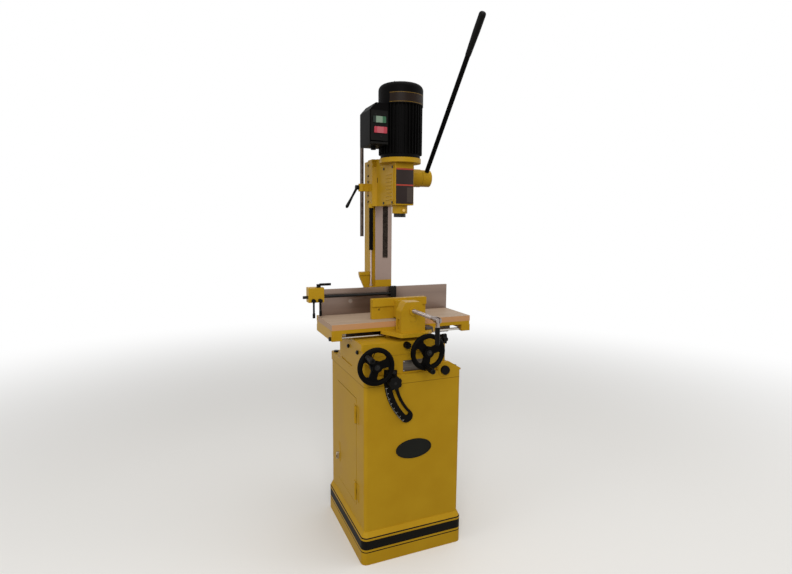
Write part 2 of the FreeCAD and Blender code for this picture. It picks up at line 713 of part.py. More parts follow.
# gas spring rod with its foot and piston
gas_rod = Piece("gas_spring_rod", at=(gas_x, gas_y, gas_seat))
gas_rod.add("XY", 0, 196, circle(0, 0, rod_r))
gas_rod.add("XY", 0, 9, circle(0, 0, 6))
gas_rod.add("XY", 196, 204, circle(0, 0, gas_bore - run_gap))

# tilting cradle: hollow casting with the dovetail way across its top

cradle = Piece("tilt_cradle")
cradle.add("XY", deck_z + slide_gap, cradle_z, rect(cradle_left, cradle_right, cradle_front, cradle_rear, 8))
cradle.add("XZ", cradle_front, cradle_rear, circle(tilt_x, tilt_z, barrel_r))
cradle.cut("XY", deck_z + slide_gap, way_z, rect(-173, 80, -170, 76, 6))
gib_left = way_left - gib_t - slide_gap
way_slope = way_lean / (cradle_z - way_z)
cradle.cut("XZ", cradle_front, cradle_rear,
           [(gib_left - way_slope * 0.5, way_z - 0.5), (way_right + slide_gap + way_slope * 0.5, way_z - 0.5),
            (way_right + slide_gap - way_lean, cradle_z), (gib_left + way_lean, cradle_z)])
cradle.add("XZ", cradle_front - 12, cradle_front, circle(screw_x, screw_z, 14))
cradle.cut("XZ", cradle_front - 12, -170, circle(screw_x, screw_z, screw_r + run_gap))
cradle.cut("XZ", cradle_front, cradle_rear, circle(tilt_x, tilt_z, tilt_r + run_gap))
cradle.add("XZ", -203, cradle_front, rect(-118, -70, 676, 701, 4))
bolt_angle = math.radians(3.9)
quadrant_bolts = [(tilt_x - r * math.cos(bolt_angle), tilt_z + r * math.sin(bolt_angle)) for r in (200, 222)]
for y in gib_screw_ys:
    cradle.cut("YZ", cradle_left, gib_left + 8, circle(y, gib_screw_z, gib_screw_r + run_gap))
for x, z in quadrant_bolts:
    cradle.cut("XZ", -203, -180, circle(x, z, 4 + run_gap))
cradle.cut("YZ", cradle_left, cradle_left + 3, rect(-65, 58, 678, 687, 3))

# slotted tilt quadrant, centred on the tilt axis

quadrant = Piece("tilt_quadrant", at=(tilt_x, 0, tilt_z))
quadrant.lathe("XY", (0, 0, 0), "V",
               rect(-quadrant_out, -quadrant_in, quadrant_y, quadrant_y + quadrant_t),
               angle=sweep, turn=((0, 1, 0), float(top_angle)), back=True)
quadrant.add("XZ", quadrant_y, quadrant_y + quadrant_t,
             circle(-211 * math.cos(math.radians(45)), -211 * math.sin(math.radians(45)), 23))
quadrant.lathe("XY", (0, 0, 0), "V",
               rect(-slot_r - slot_w, -slot_r + slot_w, quadrant_y - 1, quadrant_y + quadrant_t + 1),
               angle=slot_sweep, turn=((0, 1, 0), -float(slot_top)), back=True, adds=False)
for end in (slot_top, slot_top + slot_sweep):
    swing = math.radians(end.value)
    quadrant.cut("XZ", quadrant_y, quadrant_y + quadrant_t,
                 circle(-slot_r * math.cos(swing), -slot_r * math.sin(swing), slot_w))
for r in (200, 222):
    quadrant.cut("XZ", quadrant_y, quadrant_y + quadrant_t,
                 circle(-r * math.cos(bolt_angle), r * math.sin(bolt_angle), 4 + run_gap))

# gib strip and the screws that belong to the cradle
cradle_fittings = Piece("cradle_fittings")
cradle_fittings.body.AllowCompound = True
cradle_fittings.add("XZ", cradle_front + 1, cradle_rear - 1,
        [(gib_left + way_slope * 0.3, way_z + 0.3), (gib_left + gib_t + way_slope * 0.3, way_z + 0.3),
         (gib_left + gib_t + way_lean - way_slope, cradle_z - 1), (gib_left + way_lean - way_slope, cradle_z - 1)])
gib_face = gib_left + way_slope * (gib_screw_z - gib_screw_r - way_z) - 0.2
for y in gib_screw_ys:
    cradle_fittings.add("YZ", cradle_left - 8, gib_face, circle(y, gib_screw_z, gib_screw_r))
    cradle_fittings.add("YZ", cradle_left - 6, cradle_left, hex_outline(y, gib_screw_z, 7.5))
for x, z in quadrant_bolts:
    cradle_fittings.add("XZ", quadrant_y - 5, quadrant_y, circle(x, z, 6))
    cradle_fittings.add("XZ", quadrant_y, -181, circle(x, z, 4))

# clamp knob on the stud
clamp = Piece("tilt_clamp_knob", at=(stud_x, quadrant_y, stud_z))
clamp.add("XZ", -25, -slide_gap, circle(0, 0, knob_r))
clamp.cut("XZ", -25, 0, circle(knob_r + 5, 0, 8)).ring(7, "Y")
clamp.cut("XZ", -24.5 + 5, 0, circle(0, 0, stud_r + run_gap))
clamp.cut("XZ", -25, -19, circle(0, 0, stud_r + run_gap))

# handwheels with a turning crank grip


def handwheel(label, at, shaft_r, crank_angle):
    """Cast wheel on an axis along Y: hub and web with three openings, rim, and a crank pin on one spoke."""
    wheel = Piece(label, at=at)
    wheel.add("XZ", -4, 4, circle(0, 0, wheel_r - rim_r))
    wheel.cut("XZ", -4, 4, [(20, -9, 5), (36, -34, 7), (53, 0, 25), (36, 34, 7), (20, 9, 5)],
              turn=((0, 0, 1), crank_angle + 60)).ring(3, "Y")
    wheel.lathe("YZ", (0, 0, 0), "U", circle(0, wheel_r - rim_r, rim_r))
    wheel.add("XZ", -12, 16, circle(0, 0, 18))
    way = math.radians(crank_angle)
    u, v = crank_r * math.cos(way), crank_r * math.sin(way)
    wheel.add("XZ", -crank_seat, 4, circle(u, v, 11))
    wheel.add("XZ", -crank_seat - grip_len, -crank_seat, circle(u, v, crank_pin_r))
    wheel.cut("XZ", -10, 16, circle(0, 0, shaft_r + run_gap))
    return wheel


def crank_grip(label, at, crank_angle):
    way = math.radians(crank_angle)
    spot = (at[0] + crank_r * math.cos(way), at[1] - crank_seat - slide_gap, at[2] + crank_r * math.sin(way))
    grip = Piece(label, at=spot)
    bore = crank_pin_r + run_gap
    grip.lathe("YZ", (0, 0, 0), "U",
               [(0, bore), (-grip_len, bore), (-grip_len, 6), (1.5 - grip_len, 9.2), (-0.7 * grip_len, 9.9),
                (-0.25 * grip_len, 7.6), (-3, 8.2), (0, 7.4)])
    return grip


cross_at = (screw_x, wheel_y, screw_z)
cross_crank = 133
handwheel("cross_wheel", cross_at, screw_r, cross_crank)
crank_grip("cross_crank", cross_at, cross_crank)
cross_screw = Piece("cross_screw", at=(screw_x, 0, screw_z))
cross_screw.add("XZ", wheel_y - 10, 62, circle(0, 0, screw_r))
cross_screw.add("XZ", cradle_front - 12 - slide_gap - 6, cradle_front - 12 - slide_gap, circle(0, 0, 10))
cross_screw.add("XZ", -170 + slide_gap, -164, circle(0, 0, 10))
helix_free_thread(cross_screw, -140, cross_lead, screw_r, 0.8, 32)

# saddle: cross slide with the tenon below and the pedestal of the table above
table_teeth = 24
table_r = table_module * table_teeth / 2

saddle = Piece("saddle")
saddle.add("XY", cradle_z + slide_gap, saddle_z, rect(saddle_left, saddle_right, cradle_front, 86, 6))
saddle.add("XZ", cradle_front, cradle_rear,
           [(way_left + way_slope * slide_gap, way_z + slide_gap),
            (way_right - way_slope * slide_gap, way_z + slide_gap),
            (way_right - way_lean, cradle_z), (way_right - way_lean, cradle_z + 1),
            (way_left + way_lean, cradle_z + 1), (way_left + way_lean, cradle_z)])
saddle.add("XY", saddle_z - 1, pedestal_z, rect(-pedestal_x, pedestal_x, -82, 70, 4))
saddle.add("XY", pedestal_z - 9, pedestal_z, rect(-pedestal_x, pedestal_x, 60, keep_y))
for side in (-1, 1):
    inner, outer = sorted([side * (pedestal_x - 8), side * (pedestal_x + 6)], key=float)
    saddle.add("XY", saddle_z - 1, 801, rect(inner, outer, rod_y - 11, -80, 2))
saddle.cut("YZ", -pedestal_x - 8, pedestal_x + 8, circle(rod_y, rod_z, guide_r + run_gap))
rack_tip = pinion_z + table_r - table_module
saddle.cut("YZ", saddle_left, saddle_right, rect(rack_front - 1, rack_front + rack_t + 1, rack_tip - 1, pedestal_z + 1))
saddle.cut("XZ", rack_front - 1, rack_front + rack_t + 1, circle(pinion_x, pinion_z, table_r + table_module + 0.8))
saddle.add("XZ", cradle_front - 12, cradle_front, circle(pinion_x, pinion_z, 14))
saddle.cut("XZ", cradle_front - 12, -24, circle(pinion_x, pinion_z, shaft_r + run_gap))
nut = [(-170, 706), (-132, 706), (-132, way_z + slide_gap + 0.2), (-146, way_z + slide_gap + 0.2),
       (-146, way_z - 0.8), (-170, way_z - 0.8)]
saddle.add("XZ", -70, -38, nut)
saddle.cut("XZ", -70, -38, circle(screw_x, screw_z, screw_r + slide_gap))
saddle.cut("XZ", cradle_front, cradle_front + 20, circle(lock_x, lock_z, 4 + run_gap))
saddle.cut("YZ", saddle_right - 20, saddle_right, circle(star_y, lock_z, 4 + run_gap))

lock = Piece("lock_knob", at=(lock_x, cradle_front, lock_z))
lock.add("XZ", -20, -2, circle(0, 0, 12))
lock.cut("XZ", -20, -4, circle(14, 0, 4)).ring(8, "Y")
lock.add("XZ", -3, 18, circle(0, 0, 4))
star = Piece("star_knob", at=(saddle_right, star_y, lock_z))
star.add("YZ", 22, 38, circle(0, 0, 19))
star.cut("YZ", 22, 38, circle(22, 0, 8)).ring(5, "X")
star.add("YZ", 1, 23, circle(0, 0, 9))
star.add("YZ", -18, 2, circle(0, 0, 4))

# table feed: wheel, shaft and pinion
table_at = (pinion_x, wheel_y, pinion_z)
table_crank = -102
handwheel("table_wheel", table_at, shaft_r, table_crank)
crank_grip("table_crank", table_at, table_crank)
table_shaft = Piece("table_pinion", at=(pinion_x, 0, pinion_z))
table_shaft.add("XZ", rack_front + 0.5, rack_front + rack_t - 0.5, circle(0, 0, table_r + table_module))
table_shaft.cut("XZ", rack_front, rack_front + rack_t, tooth_gap(table_teeth, table_module.value, 0.5, 90))
table_shaft.ring(table_teeth, "Y")
table_shaft.add("XZ", wheel_y - 10, -28, circle(0, 0, shaft_r))
table_shaft.add("XZ", cradle_front - 12 - slide_gap - 6, cradle_front - 12 - slide_gap, circle(0, 0, 12))

# table casting with its end walls, rear rail, keeper lip and the tongue for the vise

table = Piece("table_casting")
table.add("XY", plate_low, plate_z, rect(table_left, table_right, table_front, table_rear, 5))
table.add("XY", plate_z, board_z, rect(table_left, table_right, fence_y, table_rear))
for end, step in ((table_left, 1), (table_right, -1)):
    wall = sorted([end, end + step * 14], key=float)
    block = sorted([end, end + step * ear_w], key=float)
    table.add("XY", ear_z, plate_low, rect(wall[0], wall[1], table_front, table_rear))
    table.add("XY", ear_z, plate_low, rect(block[0], block[1], table_front, rod_y + 16))
table.add("YZ", -225, 225, [(70.6, pedestal_z - 9 - slide_gap), (70.6, 792.5), (84, 792.5), (84, plate_low),
                            (keep_y + slide_gap, plate_low), (keep_y + slide_gap, pedestal_z - 9 - slide_gap)])
table.add("XY", tongue_low, tongue_z, [(-92, -108), (-50, -200, 8), (50, -200, 8), (132, -108)])
table.cut("XY", tongue_z - 9, tongue_z, rect(60, 92, -160, -118, 3))
table.cut("YZ", table_left, table_right, circle(rod_y, rod_z, guide_r + run_gap))

board = Piece("table_board")
board.add("XY", plate_z, board_z, rect(table_left, table_right, table_front, fence_y, 1))

# rack under the table, guide rod between the ears
table_rack = Piece("table_rack")
root_half, tip_half = rack_tooth(table_module, 0.5)
pitch_z = pinion_z + table_r
table_pitch = table_module * math.pi
rack_root = pitch_z + 1.25 * table_module
table_rack.add("XZ", rack_front, rack_front + rack_t, rect(-205, 215, rack_root, plate_low))
first = pinion_x - 28 * table_pitch
table_rack.add("XZ", rack_front, rack_front + rack_t,
               [(first - root_half, rack_root + 0.1), (first - tip_half, rack_tip),
                (first + tip_half, rack_tip), (first + root_half, rack_root + 0.1)])
table_rack.row(57, "X", table_pitch * 56)
guide = Piece("guide_rod", at=(0, rod_y, rod_z))
guide.add("YZ", table_left, table_right, circle(0, 0, guide_r))
guide.add("YZ", table_left - 6, table_left, hex_outline(0, 0, 7.5))

# fence with its posts and screws
fence_back = fence_y + fence_t
fence = Piece("fence")
fence.add("XY", board_z, fence_z, rect(fence_left, fence_right, fence_y, fence_back, 1))
posts = Piece("fence_fittings")
posts.body.AllowCompound = True
for side in (-1, 1):
    x = side * fence_screw_x
    posts.add("XY", board_z, fence_screw_z + 25, rect(x - 22, x + 22, fence_back, table_rear))
    posts.cut("XZ", fence_back, table_rear, circle(x, fence_screw_z, 4 + run_gap))
    fence.cut("XZ", fence_y, fence_back, circle(x, fence_screw_z, 4 + run_gap))
    fence.cut("XZ", fence_y, fence_y + 5, circle(x, fence_screw_z, 8 + run_gap))
    posts.add("XZ", fence_y + 0.5, fence_y + 5, circle(x, fence_screw_z, 8))
    posts.add("XZ", fence_y + 5, table_rear, circle(x, fence_screw_z, 4))
    posts.cut("XZ", fence_y + 0.5, fence_y + 3, hex_outline(x, fence_screw_z, 4.5))

# vise: body on the tongue, jaw with guide bar, screw and folding handle

vise = Piece("vise_body")
vise.add("XZ", vise_front, vise_rear - 26, [(-vise_x, tongue_z), (vise_x, tongue_z), (vise_x, vise_top - 20, 12),
                                            (30, vise_top + 12, 14), (-30, vise_top + 12, 14),
                                            (-vise_x, vise_top - 20, 12)])
vise.add("XZ", vise_rear - 26, vise_rear, rect(-34, 34, tongue_z, bar_high + 10, 4))
vise.add("XZ", vise_front - 5, vise_front, circle(0, vise_z, 16))
vise.cut("XZ", vise_front - 5, vise_rear, circle(0, vise_z, vise_r + slide_gap))
vise.cut("XZ", vise_front, vise_rear, rect(-bar_x - slide_gap, bar_x + slide_gap,
                                            bar_low - slide_gap, bar_high + slide_gap))
for side in (-1, 1):
    inner, outer = sorted([side * 38, side * (vise_x + 1)], key=float)
    vise.cut("XY", tongue_z + 12, vise_z - 30, rect(inner, outer, vise_front + 14, vise_rear - 36, 3))

jaw = Piece("vise_jaw")
jaw.add("XZ", jaw_front, jaw_back, rect(-108, 108, board_z + slide_gap, 918, 2))
jaw.add("XZ", jaw_front - 8, jaw_front, rect(-108, 108, 890, 918, 2))
jaw.add("XZ", jaw_front - 30, jaw_front, rect(-24, 24, board_z + 4, 912, 4))
jaw.add("XZ", vise_front + 1, jaw_front, rect(-bar_x, bar_x, bar_low, bar_high, 1))
jaw.cut("XZ", jaw_front - 30, jaw_front - 4, circle(0, vise_z, vise_r + run_gap))
jaw.cut("XZ", jaw_front - 16, jaw_front - 4, circle(0, vise_z, 11))
jaw.cut("XZ", jaw_front, jaw_back, circle(-80, 878, 3.5), circle(80, 878, 3.5))

vise_screw = Piece("vise_screw", at=(0, 0, vise_z))
vise_screw.add("XZ", vise_end, jaw_front - 5, circle(0, 0, vise_r))
vise_screw.add("XZ", jaw_front - 15.5, jaw_front - 5, circle(0, 0, 10.7))
vise_screw.add("XZ", vise_end - 24, vise_end, circle(0, 0, 10))
vise_screw.cut("XZ", vise_end - 24, vise_end - 6, rect(-4.3, 4.3, -12, 12))
vise_screw.cut("YZ", -12, 12, circle(vise_end - 15, 0, 2.5 + run_gap))
helix_free_thread(vise_screw, -325, vise_lead, vise_r, 0.8, 42)

handle = Piece("vise_handle", at=(0, vise_end - 15, vise_z))
handle.add("XY", -76, -22, circle(0, 0, 8))
handle.add("YZ", -4, 4, rect(-6, 6, -24, 0))
handle.add("YZ", -4, 4, circle(0, 0, 6))
handle.add("YZ", -9.4, 9.4, circle(0, 0, 2.5))
handle.add("XY", -80, -76, circle(0, 0, 6.5))

# work stop: bracket over the fence end, sliding rod with its foot, three clamp levers
bracket = Piece("stop_bracket")
bracket.add("XY", stop_low, stop_top, [(-312, stop_front, 3), (-253, stop_front, 3), (-253, fence_y),
                                       (fence_left, fence_y), (fence_left, 92), (-312, 92, 3)])
bracket.cut("YZ", -312, -253, circle(stop_y, stop_z, stop_r + run_gap))
bracket.cut("XY", stop_z + 3, stop_top, circle(-271, stop_y, 4 + run_gap))
for x in (-295, -270):
    bracket.cut("XZ", stop_front, stop_front + 7, circle(x, lever_z, 3.5 + run_gap))
stop_rod = Piece("stop_rod")
stop_rod.add("YZ", -330, 20, circle(stop_y, stop_z, stop_r))
stop_rod.add("YZ", 15, 38, rect(stop_y - 8, stop_y + 8, 902, 946, 3))
top_lever = Piece("stop_top_lever", at=(-271, stop_y, stop_top))
top_lever.add("XY", slide_gap, 12, circle(0, 0, 8))
top_lever.add("XY", stop_z + stop_r - stop_top + 1, 2, circle(0, 0, 4))
top_lever.add("YZ", 4, 46, rect(-4, 4, 6, 15, 2))


def hanging_lever(label, x, length):
    """Clamp lever on a stub axis along Y that hangs straight down."""
    lever = Piece(label, at=(x, stop_front, lever_z))
    lever.add("XZ", -12, -slide_gap, circle(0, 0, 7.5))
    lever.add("XZ", -1, 6, circle(0, 0, 3.5))
    lever.add("XY", -length, 0, circle(0, -7, 3.6))
    lever.add("XY", -length - 1, 16 - length, circle(0, -7, 5))
    return lever


hanging_lever("stop_lever_left", -295, 62)
hanging_lever("stop_lever_right", -270, 55)

# head casting: front box, cheeks round the dovetail, nose and motor flange

head = Piece("head_casting")
head.add("XY", head_z, head_top, [(-head_x, head_front, 2.5), (head_x, head_front, 2.5), (head_x, cheek_y - 6),
                                  (cheek_x, cheek_y + 2), (cheek_x, cheek_rear), (-cheek_x, cheek_rear),
                                  (-cheek_x, cheek_y + 2), (-head_x, cheek_y - 6)])
head.add("YZ", -head_x, head_x, [(46, head_top - 1), (cheek_y + 4, head_top - 1), (cheek_y + 4, hump_z),
                                 (70, hump_z, 20)])
head.add("YZ", -cheek_x, cheek_x, [(cheek_y + 2, head_top - 1), (cheek_rear, head_top - 1),
                                   (cheek_rear, hump_z, 10), (cheek_y + 2, hump_z)])
head.add("YZ", -8, 23, circle(feed_y, feed_z, feed_r + 6.5))
head.add("YZ", head_x - 1, boss_end, circle(feed_y, feed_z, boss_r))
head.add("XY", nose_z, head_z, circle(0, spindle_y, nose_r))
head.add("XY", head_top, flange_z, circle(0, spindle_y, flange_r))
head.add("XY", head_z + 57, head_z + 86, rect(pad_x, -cheek_x + 1, pad_y - 13, cheek_rear))
head.add("XY", head_z + 57, head_z + 86, circle(pad_x, pad_y, 14))
head.add("XY", head_z - 6, head_z + 10, circle(gas_x, gas_y, 11))
gib_room = head_gib_t + slide_gap
face_lean = (face_x - neck_x) / (neck_y - face_y)
head.cut("XY", head_z - 6, hump_z, [
    (-face_x - slide_gap - gib_room - face_lean * slide_gap, face_y - slide_gap),
    (face_x + slide_gap + face_lean * slide_gap, face_y - slide_gap),
    (neck_x + slide_gap, neck_y), (neck_x + slide_gap, body_y - slide_gap),
    (body_x + slide_gap, body_y - slide_gap), (body_x + slide_gap, cheek_rear + 1),
    (-body_x - slide_gap, cheek_rear + 1), (-body_x - slide_gap, body_y - slide_gap),
    (-neck_x - slide_gap - gib_room, body_y - slide_gap), (-neck_x - slide_gap - gib_room, neck_y)])
head.cut("XY", head_z, hump_z, rect(rack_x - 1, rack_x + rack_w + 1, face_y - 4, face_y + 1))
head.cut("YZ", -1, 16, circle(feed_y, feed_z, feed_r + 4))
head.cut("YZ", -30, boss_end, circle(feed_y, feed_z, feed_shaft_r + run_gap))
head.cut("XY", head_z + 10, flange_z, circle(0, spindle_y, chuck_room))
head.cut("XY", nose_z, head_z + 10, circle(0, spindle_y, seat_r + run_gap))
head.cut("YZ", -head_x, head_x, rect(-82, -10, head_z + 12, head_top - 18, 6))
head.cut("XY", head_z + 57, head_z + 86, circle(pad_x, pad_y, depth_r + run_gap))
head.cut("YZ", pad_x - 14, pad_x - depth_r + 1, circle(pad_y, clamp_z, 4 + run_gap))
head.cut("XY", head_z - 6, head_z + 2, circle(gas_x, gas_y, gas_r + run_gap))
head.cut("XZ", spindle_y - nose_r, spindle_y - seat_r, circle(2, nose_z + 11, 3.5 + run_gap))

# gib of the head, its screws and the other small screws of the head
screws = Piece("head_fittings")
screws.body.AllowCompound = True
left_face = -face_x - slide_gap + face_lean * 0.6
left_neck = -neck_x - slide_gap - face_lean * 0.6
screws.add("XY", head_z + 2, hump_z - 4, [
    (left_face - head_gib_t, face_y + 0.6), (left_face, face_y + 0.6),
    (left_neck, neck_y - 0.6), (left_neck - head_gib_t, neck_y - 0.6)])
cover_spots = [(-80, head_z + 9), (-80, head_top - 15), (2, head_z + 9), (2, head_top - 15)]
for y, z in cover_spots:
    for side in (-1, 1):
        inner, outer = sorted([side * (head_x + cover_t), side * (head_x + cover_t + 2.5)], key=float)
        screws.add("YZ", inner, outer, circle(y, z, 4.5))
for z in (1272, 1296, 1348, 1370, 1410):
    screws.add("YZ", -cheek_x - 3, -cheek_x, circle(134, z, 4))
screws.add("XZ", spindle_y - nose_r - 3, spindle_y - seat_r - 1, circle(2, nose_z + 11, 3.5))
screws.add("XZ", spindle_y - nose_r - 5, spindle_y - nose_r - 1, circle(2, nose_z + 11, 5.5))

covers = Piece("head_covers")
covers.body.AllowCompound = True
for side in (-1, 1):
    inner, outer = sorted([side * head_x, side * (head_x + cover_t)], key=float)
    covers.add("YZ", inner, outer, rect(-86, 8, head_z + 3, head_top - 9, 4))
covers.add("XZ", head_front - 1.2, head_front, rect(2.5 - head_x, head_x - 2.5, head_z + 4.5, head_top - 19, 3))

# chisel bushing and the gas spring cylinder
bushing = Piece("chisel_bushing", at=(0, spindle_y, nose_z))
bushing.add("XY", -13, 0, circle(0, 0, 21.5))
bushing.add("XY", -1, 27, circle(0, 0, seat_r))
bushing.cut("XY", -13, 27, circle(0, 0, bore_r))
gas = Piece("gas_cylinder", at=(gas_x, gas_y, 1085))
gas.add("XY", 0, 171, circle(0, 0, gas_r))
gas.cut("XY", 8, 166, circle(0, 0, gas_bore))
gas.cut("XY", 0, 8, circle(0, 0, rod_r + run_gap))

# motor: finned housing, wound stator, fan cover with vents
housing = Piece("motor_housing", at=(0, spindle_y, 0))
housing.add("XY", motor_low, fins_low, circle(0, 0, flange_r - 3))
housing.add("XY", fins_low, fins_top, circle(0, 0, case_r))
housing.add("XY", fins_low, fins_top, rect(case_r - 2, fin_r, -1.6, 1.6)).ring(36, "Z")
housing.cut("XY", fins_low + 2, fins_top, circle(0, 0, case_in))
housing.cut("XY", motor_low, fins_low + 2, circle(0, 0, spin_r + run_gap))
housing.add("XY", fins_low + 2, fins_low + 14, circle(0, 0, 20))
housing.cut("XY", fins_low + 2, fins_low + 14, circle(0, 0, spin_r + run_gap))
stator = Piece("motor_stator", at=(0, spindle_y, 0))
stator.add("XY", fins_low + 20, fins_top - 35, circle(0, 0, case_in - run_gap))
stator.cut("XY", fins_low + 20, fins_top - 35, circle(0, 0, 42.5))
shield = Piece("motor_shield", at=(0, spindle_y, 0))
shield.add("XY", fins_top - 12, fins_top, circle(0, 0, case_in - run_gap))
shield.add("XY", fins_top - 22, fins_top - 12, circle(0, 0, 20))
shield.cut("XY", fins_top - 22, fins_top, circle(0, 0, spin_r + run_gap))
cover = Piece("fan_cover", at=(0, spindle_y, 0))
cover.lathe("XZ", (0, 0, 0), "V", [(0, fins_top), (fan_cover_r, fins_top), (fan_cover_r, motor_top, 20),
                                   (0, motor_top)])
cover.lathe("XZ", (0, 0, 0), "V", [(0, fins_top), (fan_cover_r - 2, fins_top),
                                   (fan_cover_r - 2, motor_top - 2, 18), (0, motor_top - 2)], adds=False)
cover.cut("XY", motor_top - 3, motor_top, rect(20, 54, -3, 3, 2.9)).ring(14, "Z")
cover.add("XY", fins_top, fins_top + 2, circle(0, 0, fan_cover_r - 1))
cover.cut("XY", fins_top, fins_top + 2, circle(0, 0, 68))

# rotor on its shaft with the cooling fan, and the drill chuck below
rotor = Piece("motor_shaft", at=(0, spindle_y, 0))
rotor.add("XY", 1335, 1640, circle(0, 0, spin_r))
rotor.add("XY", fins_low + 18, fins_top - 33, circle(0, 0, 42))
rotor.add("XY", 1608, 1628, circle(0, 0, 14))
rotor.add("XY", 1608, 1611, circle(0, 0, 66))
rotor.add("XY", 1610, 1630, rect(13, 64, -1, 1)).ring(8, "Z")
chuck = Piece("chuck", at=(0, spindle_y, 0))
chuck.add("XY", 1288, 1345, circle(0, 0, 19))
chuck.add("XY", 1280, 1288, circle(0, 0, 14))
chuck.cut("XY", 1280, 1320, circle(0, 0, 6.4))
chuck.cut("XY", 1335, 1345, circle(0, 0, spin_r + run_gap))

# switch box curved round the motor, with its panel, contact block and buttons
switch = Piece("switch_box")
outline = [(box_left, box_low, 5), (-62, box_low), (-62, box_high), (-110, box_high, 5), (box_left, 1569, 5)]
switch.add("XZ", box_front, 0, outline)
switch.cut("XY", box_low, box_high, circle(0, spindle_y, fin_r + 0.1))
switch.cut("XZ", box_front, -4, rect(box_left + 4, -82, box_low + 4, 1565, 3))
switch.cut("XZ", box_front, box_front + 8,
           rect(box_left + 4, red_x + button_w + slide_gap + 0.4, red_z - 15, green_z + 15, 2))
switch.add("XY", box_low - 12, box_low, circle(-104, -60, 9))
switch.cut("XY", box_low - 12, box_low + 6, circle(-104, -60, 4))
panel = Piece("switch_panel")
panel.body.AllowCompound = True
panel.add("XZ", box_front - 2, box_front, rect(-128, -67, 1469, 1568, 3))
panel.add("XZ", box_front - 9, box_front, rect(-130, -68, 1457, 1464, 2))
for x, z in ((green_x, green_z), (red_x, red_z)):
    panel.cut("XZ", box_front - 2, box_front,
              rect(x - button_w - slide_gap, x + button_w + slide_gap,
                   z - button_h - slide_gap, z + button_h + slide_gap, 2.3))
panel.add("XZ", -86, -4, rect(-120, -84, 1485, 1556, 2))
for label, x, z in (("green_button", green_x, green_z), ("red_button", red_x, red_z)):
    button = Piece(label, at=(x, box_front, z))
    button.add("XZ", -6, 1.5, rect(-button_w, button_w, -button_h, button_h, 2))
    button.add("XZ", 0, 10, rect(-13, 10, -6, 6, 1))

# depth stop: sliding rod and ratchet lever
depth = Piece("depth_rod", at=(pad_x, pad_y, 0))
depth.add("XY", 1138, 1500, circle(0, 0, depth_r))
ratchet = Piece("depth_lever", at=(pad_x - 14, pad_y, clamp_z))
ratchet.add("YZ", -12, -slide_gap, circle(0, 0, 9))
ratchet.add("YZ", -1, 6.8, circle(0, 0, 4))
ratchet.lathe("XZ", (-6, 0, 0), "V", [(0, 0), (5.2, 0), (4.2, 40), (6.5, 84), (3, 90), (0, 90)],
              turn=((0, 0, 1), 151.1))

# feed: pinion on its shaft, hub and long lever
feed = Piece("feed_pinion", at=(0, feed_y, feed_z))
feed.add("YZ", 0.5, 14.5, circle(0, 0, feed_r + feed_module))
feed.cut("YZ", 0.5, 14.5, tooth_gap(feed_teeth, feed_module.value, 0.4, 0))
feed.ring(feed_teeth, "X")
feed.add("YZ", -29, 166, circle(0, 0, feed_shaft_r))
hub = Piece("feed_hub", at=(0, feed_y, feed_z))
hub.add("YZ", hub_left, hub_right, circle(0, 0, 32))
hub.cut("YZ", hub_left, hub_right - 2, circle(0, 0, feed_shaft_r + run_gap))
arm_turn = ((0, 0, 1), float(lever_angle))
hub.lathe("YZ", (lever_x, 0, 0), "V", [(0, 16), (lever_r + run_gap, 16), (lever_r + run_gap, 34), (0, 34)],
          turn=arm_turn, adds=False)
arm = Piece("feed_lever", at=(lever_x, feed_y, feed_z))
arm.lathe("YZ", (0, 0, 0), "V", [(0, 16), (lever_r, 16), (lever_r, lever_len - 135), (0, lever_len - 135)],
          turn=arm_turn)
handgrip = Piece("lever_grip", at=(lever_x, feed_y, feed_z))
handgrip.lathe("YZ", (0, 0, 0), "V", [(0, lever_len - 135), (lever_r + 1, lever_len - 135),
                                      (lever_r + 3, lever_len - 60), (lever_r + 3, lever_len, 9), (0, lever_len)],
               turn=arm_turn)

doc.recompute()
for thing in doc.Objects:
    if "Invalid" in thing.State or "Error" in thing.State:
        raise RuntimeError("%s is %s" % (thing.Label, thing.State))
os.makedirs("parts", exist_ok=True)
nodes = [(piece.label, piece.body) for piece in pieces] + [("badge_plate", badge)]
for label, thing in nodes:
    if thing.Shape.isNull() or not thing.Shape.isValid():
        raise RuntimeError(label + " has no valid shape")
    thing.Shape.exportStep("parts/" + label + ".step")
print(len(nodes), "nodes written")
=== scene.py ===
import math

import bmesh
import bpy
from mathutils import Matrix, Vector


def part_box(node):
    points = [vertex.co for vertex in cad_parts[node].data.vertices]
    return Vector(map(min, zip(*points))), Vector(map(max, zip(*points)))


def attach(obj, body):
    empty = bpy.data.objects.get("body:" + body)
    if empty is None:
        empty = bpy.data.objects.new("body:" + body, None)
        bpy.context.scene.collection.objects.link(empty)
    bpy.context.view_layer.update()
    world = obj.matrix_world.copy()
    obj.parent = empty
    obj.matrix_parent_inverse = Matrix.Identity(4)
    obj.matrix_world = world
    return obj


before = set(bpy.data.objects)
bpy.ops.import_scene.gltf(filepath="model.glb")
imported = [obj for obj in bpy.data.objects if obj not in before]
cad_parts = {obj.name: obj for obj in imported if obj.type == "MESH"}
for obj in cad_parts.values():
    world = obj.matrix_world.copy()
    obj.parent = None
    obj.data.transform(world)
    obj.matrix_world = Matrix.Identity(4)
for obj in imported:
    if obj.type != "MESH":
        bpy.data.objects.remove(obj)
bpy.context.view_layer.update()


# Camera. It stands to the front and left of the machine at the height of the head's
# underside, looking slightly down, with a plain wide lens and no shift.
standpoint = (-0.7366, -1.7578, 1.1935)
yaw, pitch, roll = (math.radians(angle) for angle in (23.0631, -7.2662, 0.4971))
forward = Vector((math.sin(yaw) * math.cos(pitch), math.cos(yaw) * math.cos(pitch), math.sin(pitch)))
level = Vector((math.cos(yaw), -math.sin(yaw), 0))
right = level * math.cos(roll) + level.cross(forward) * math.sin(roll)
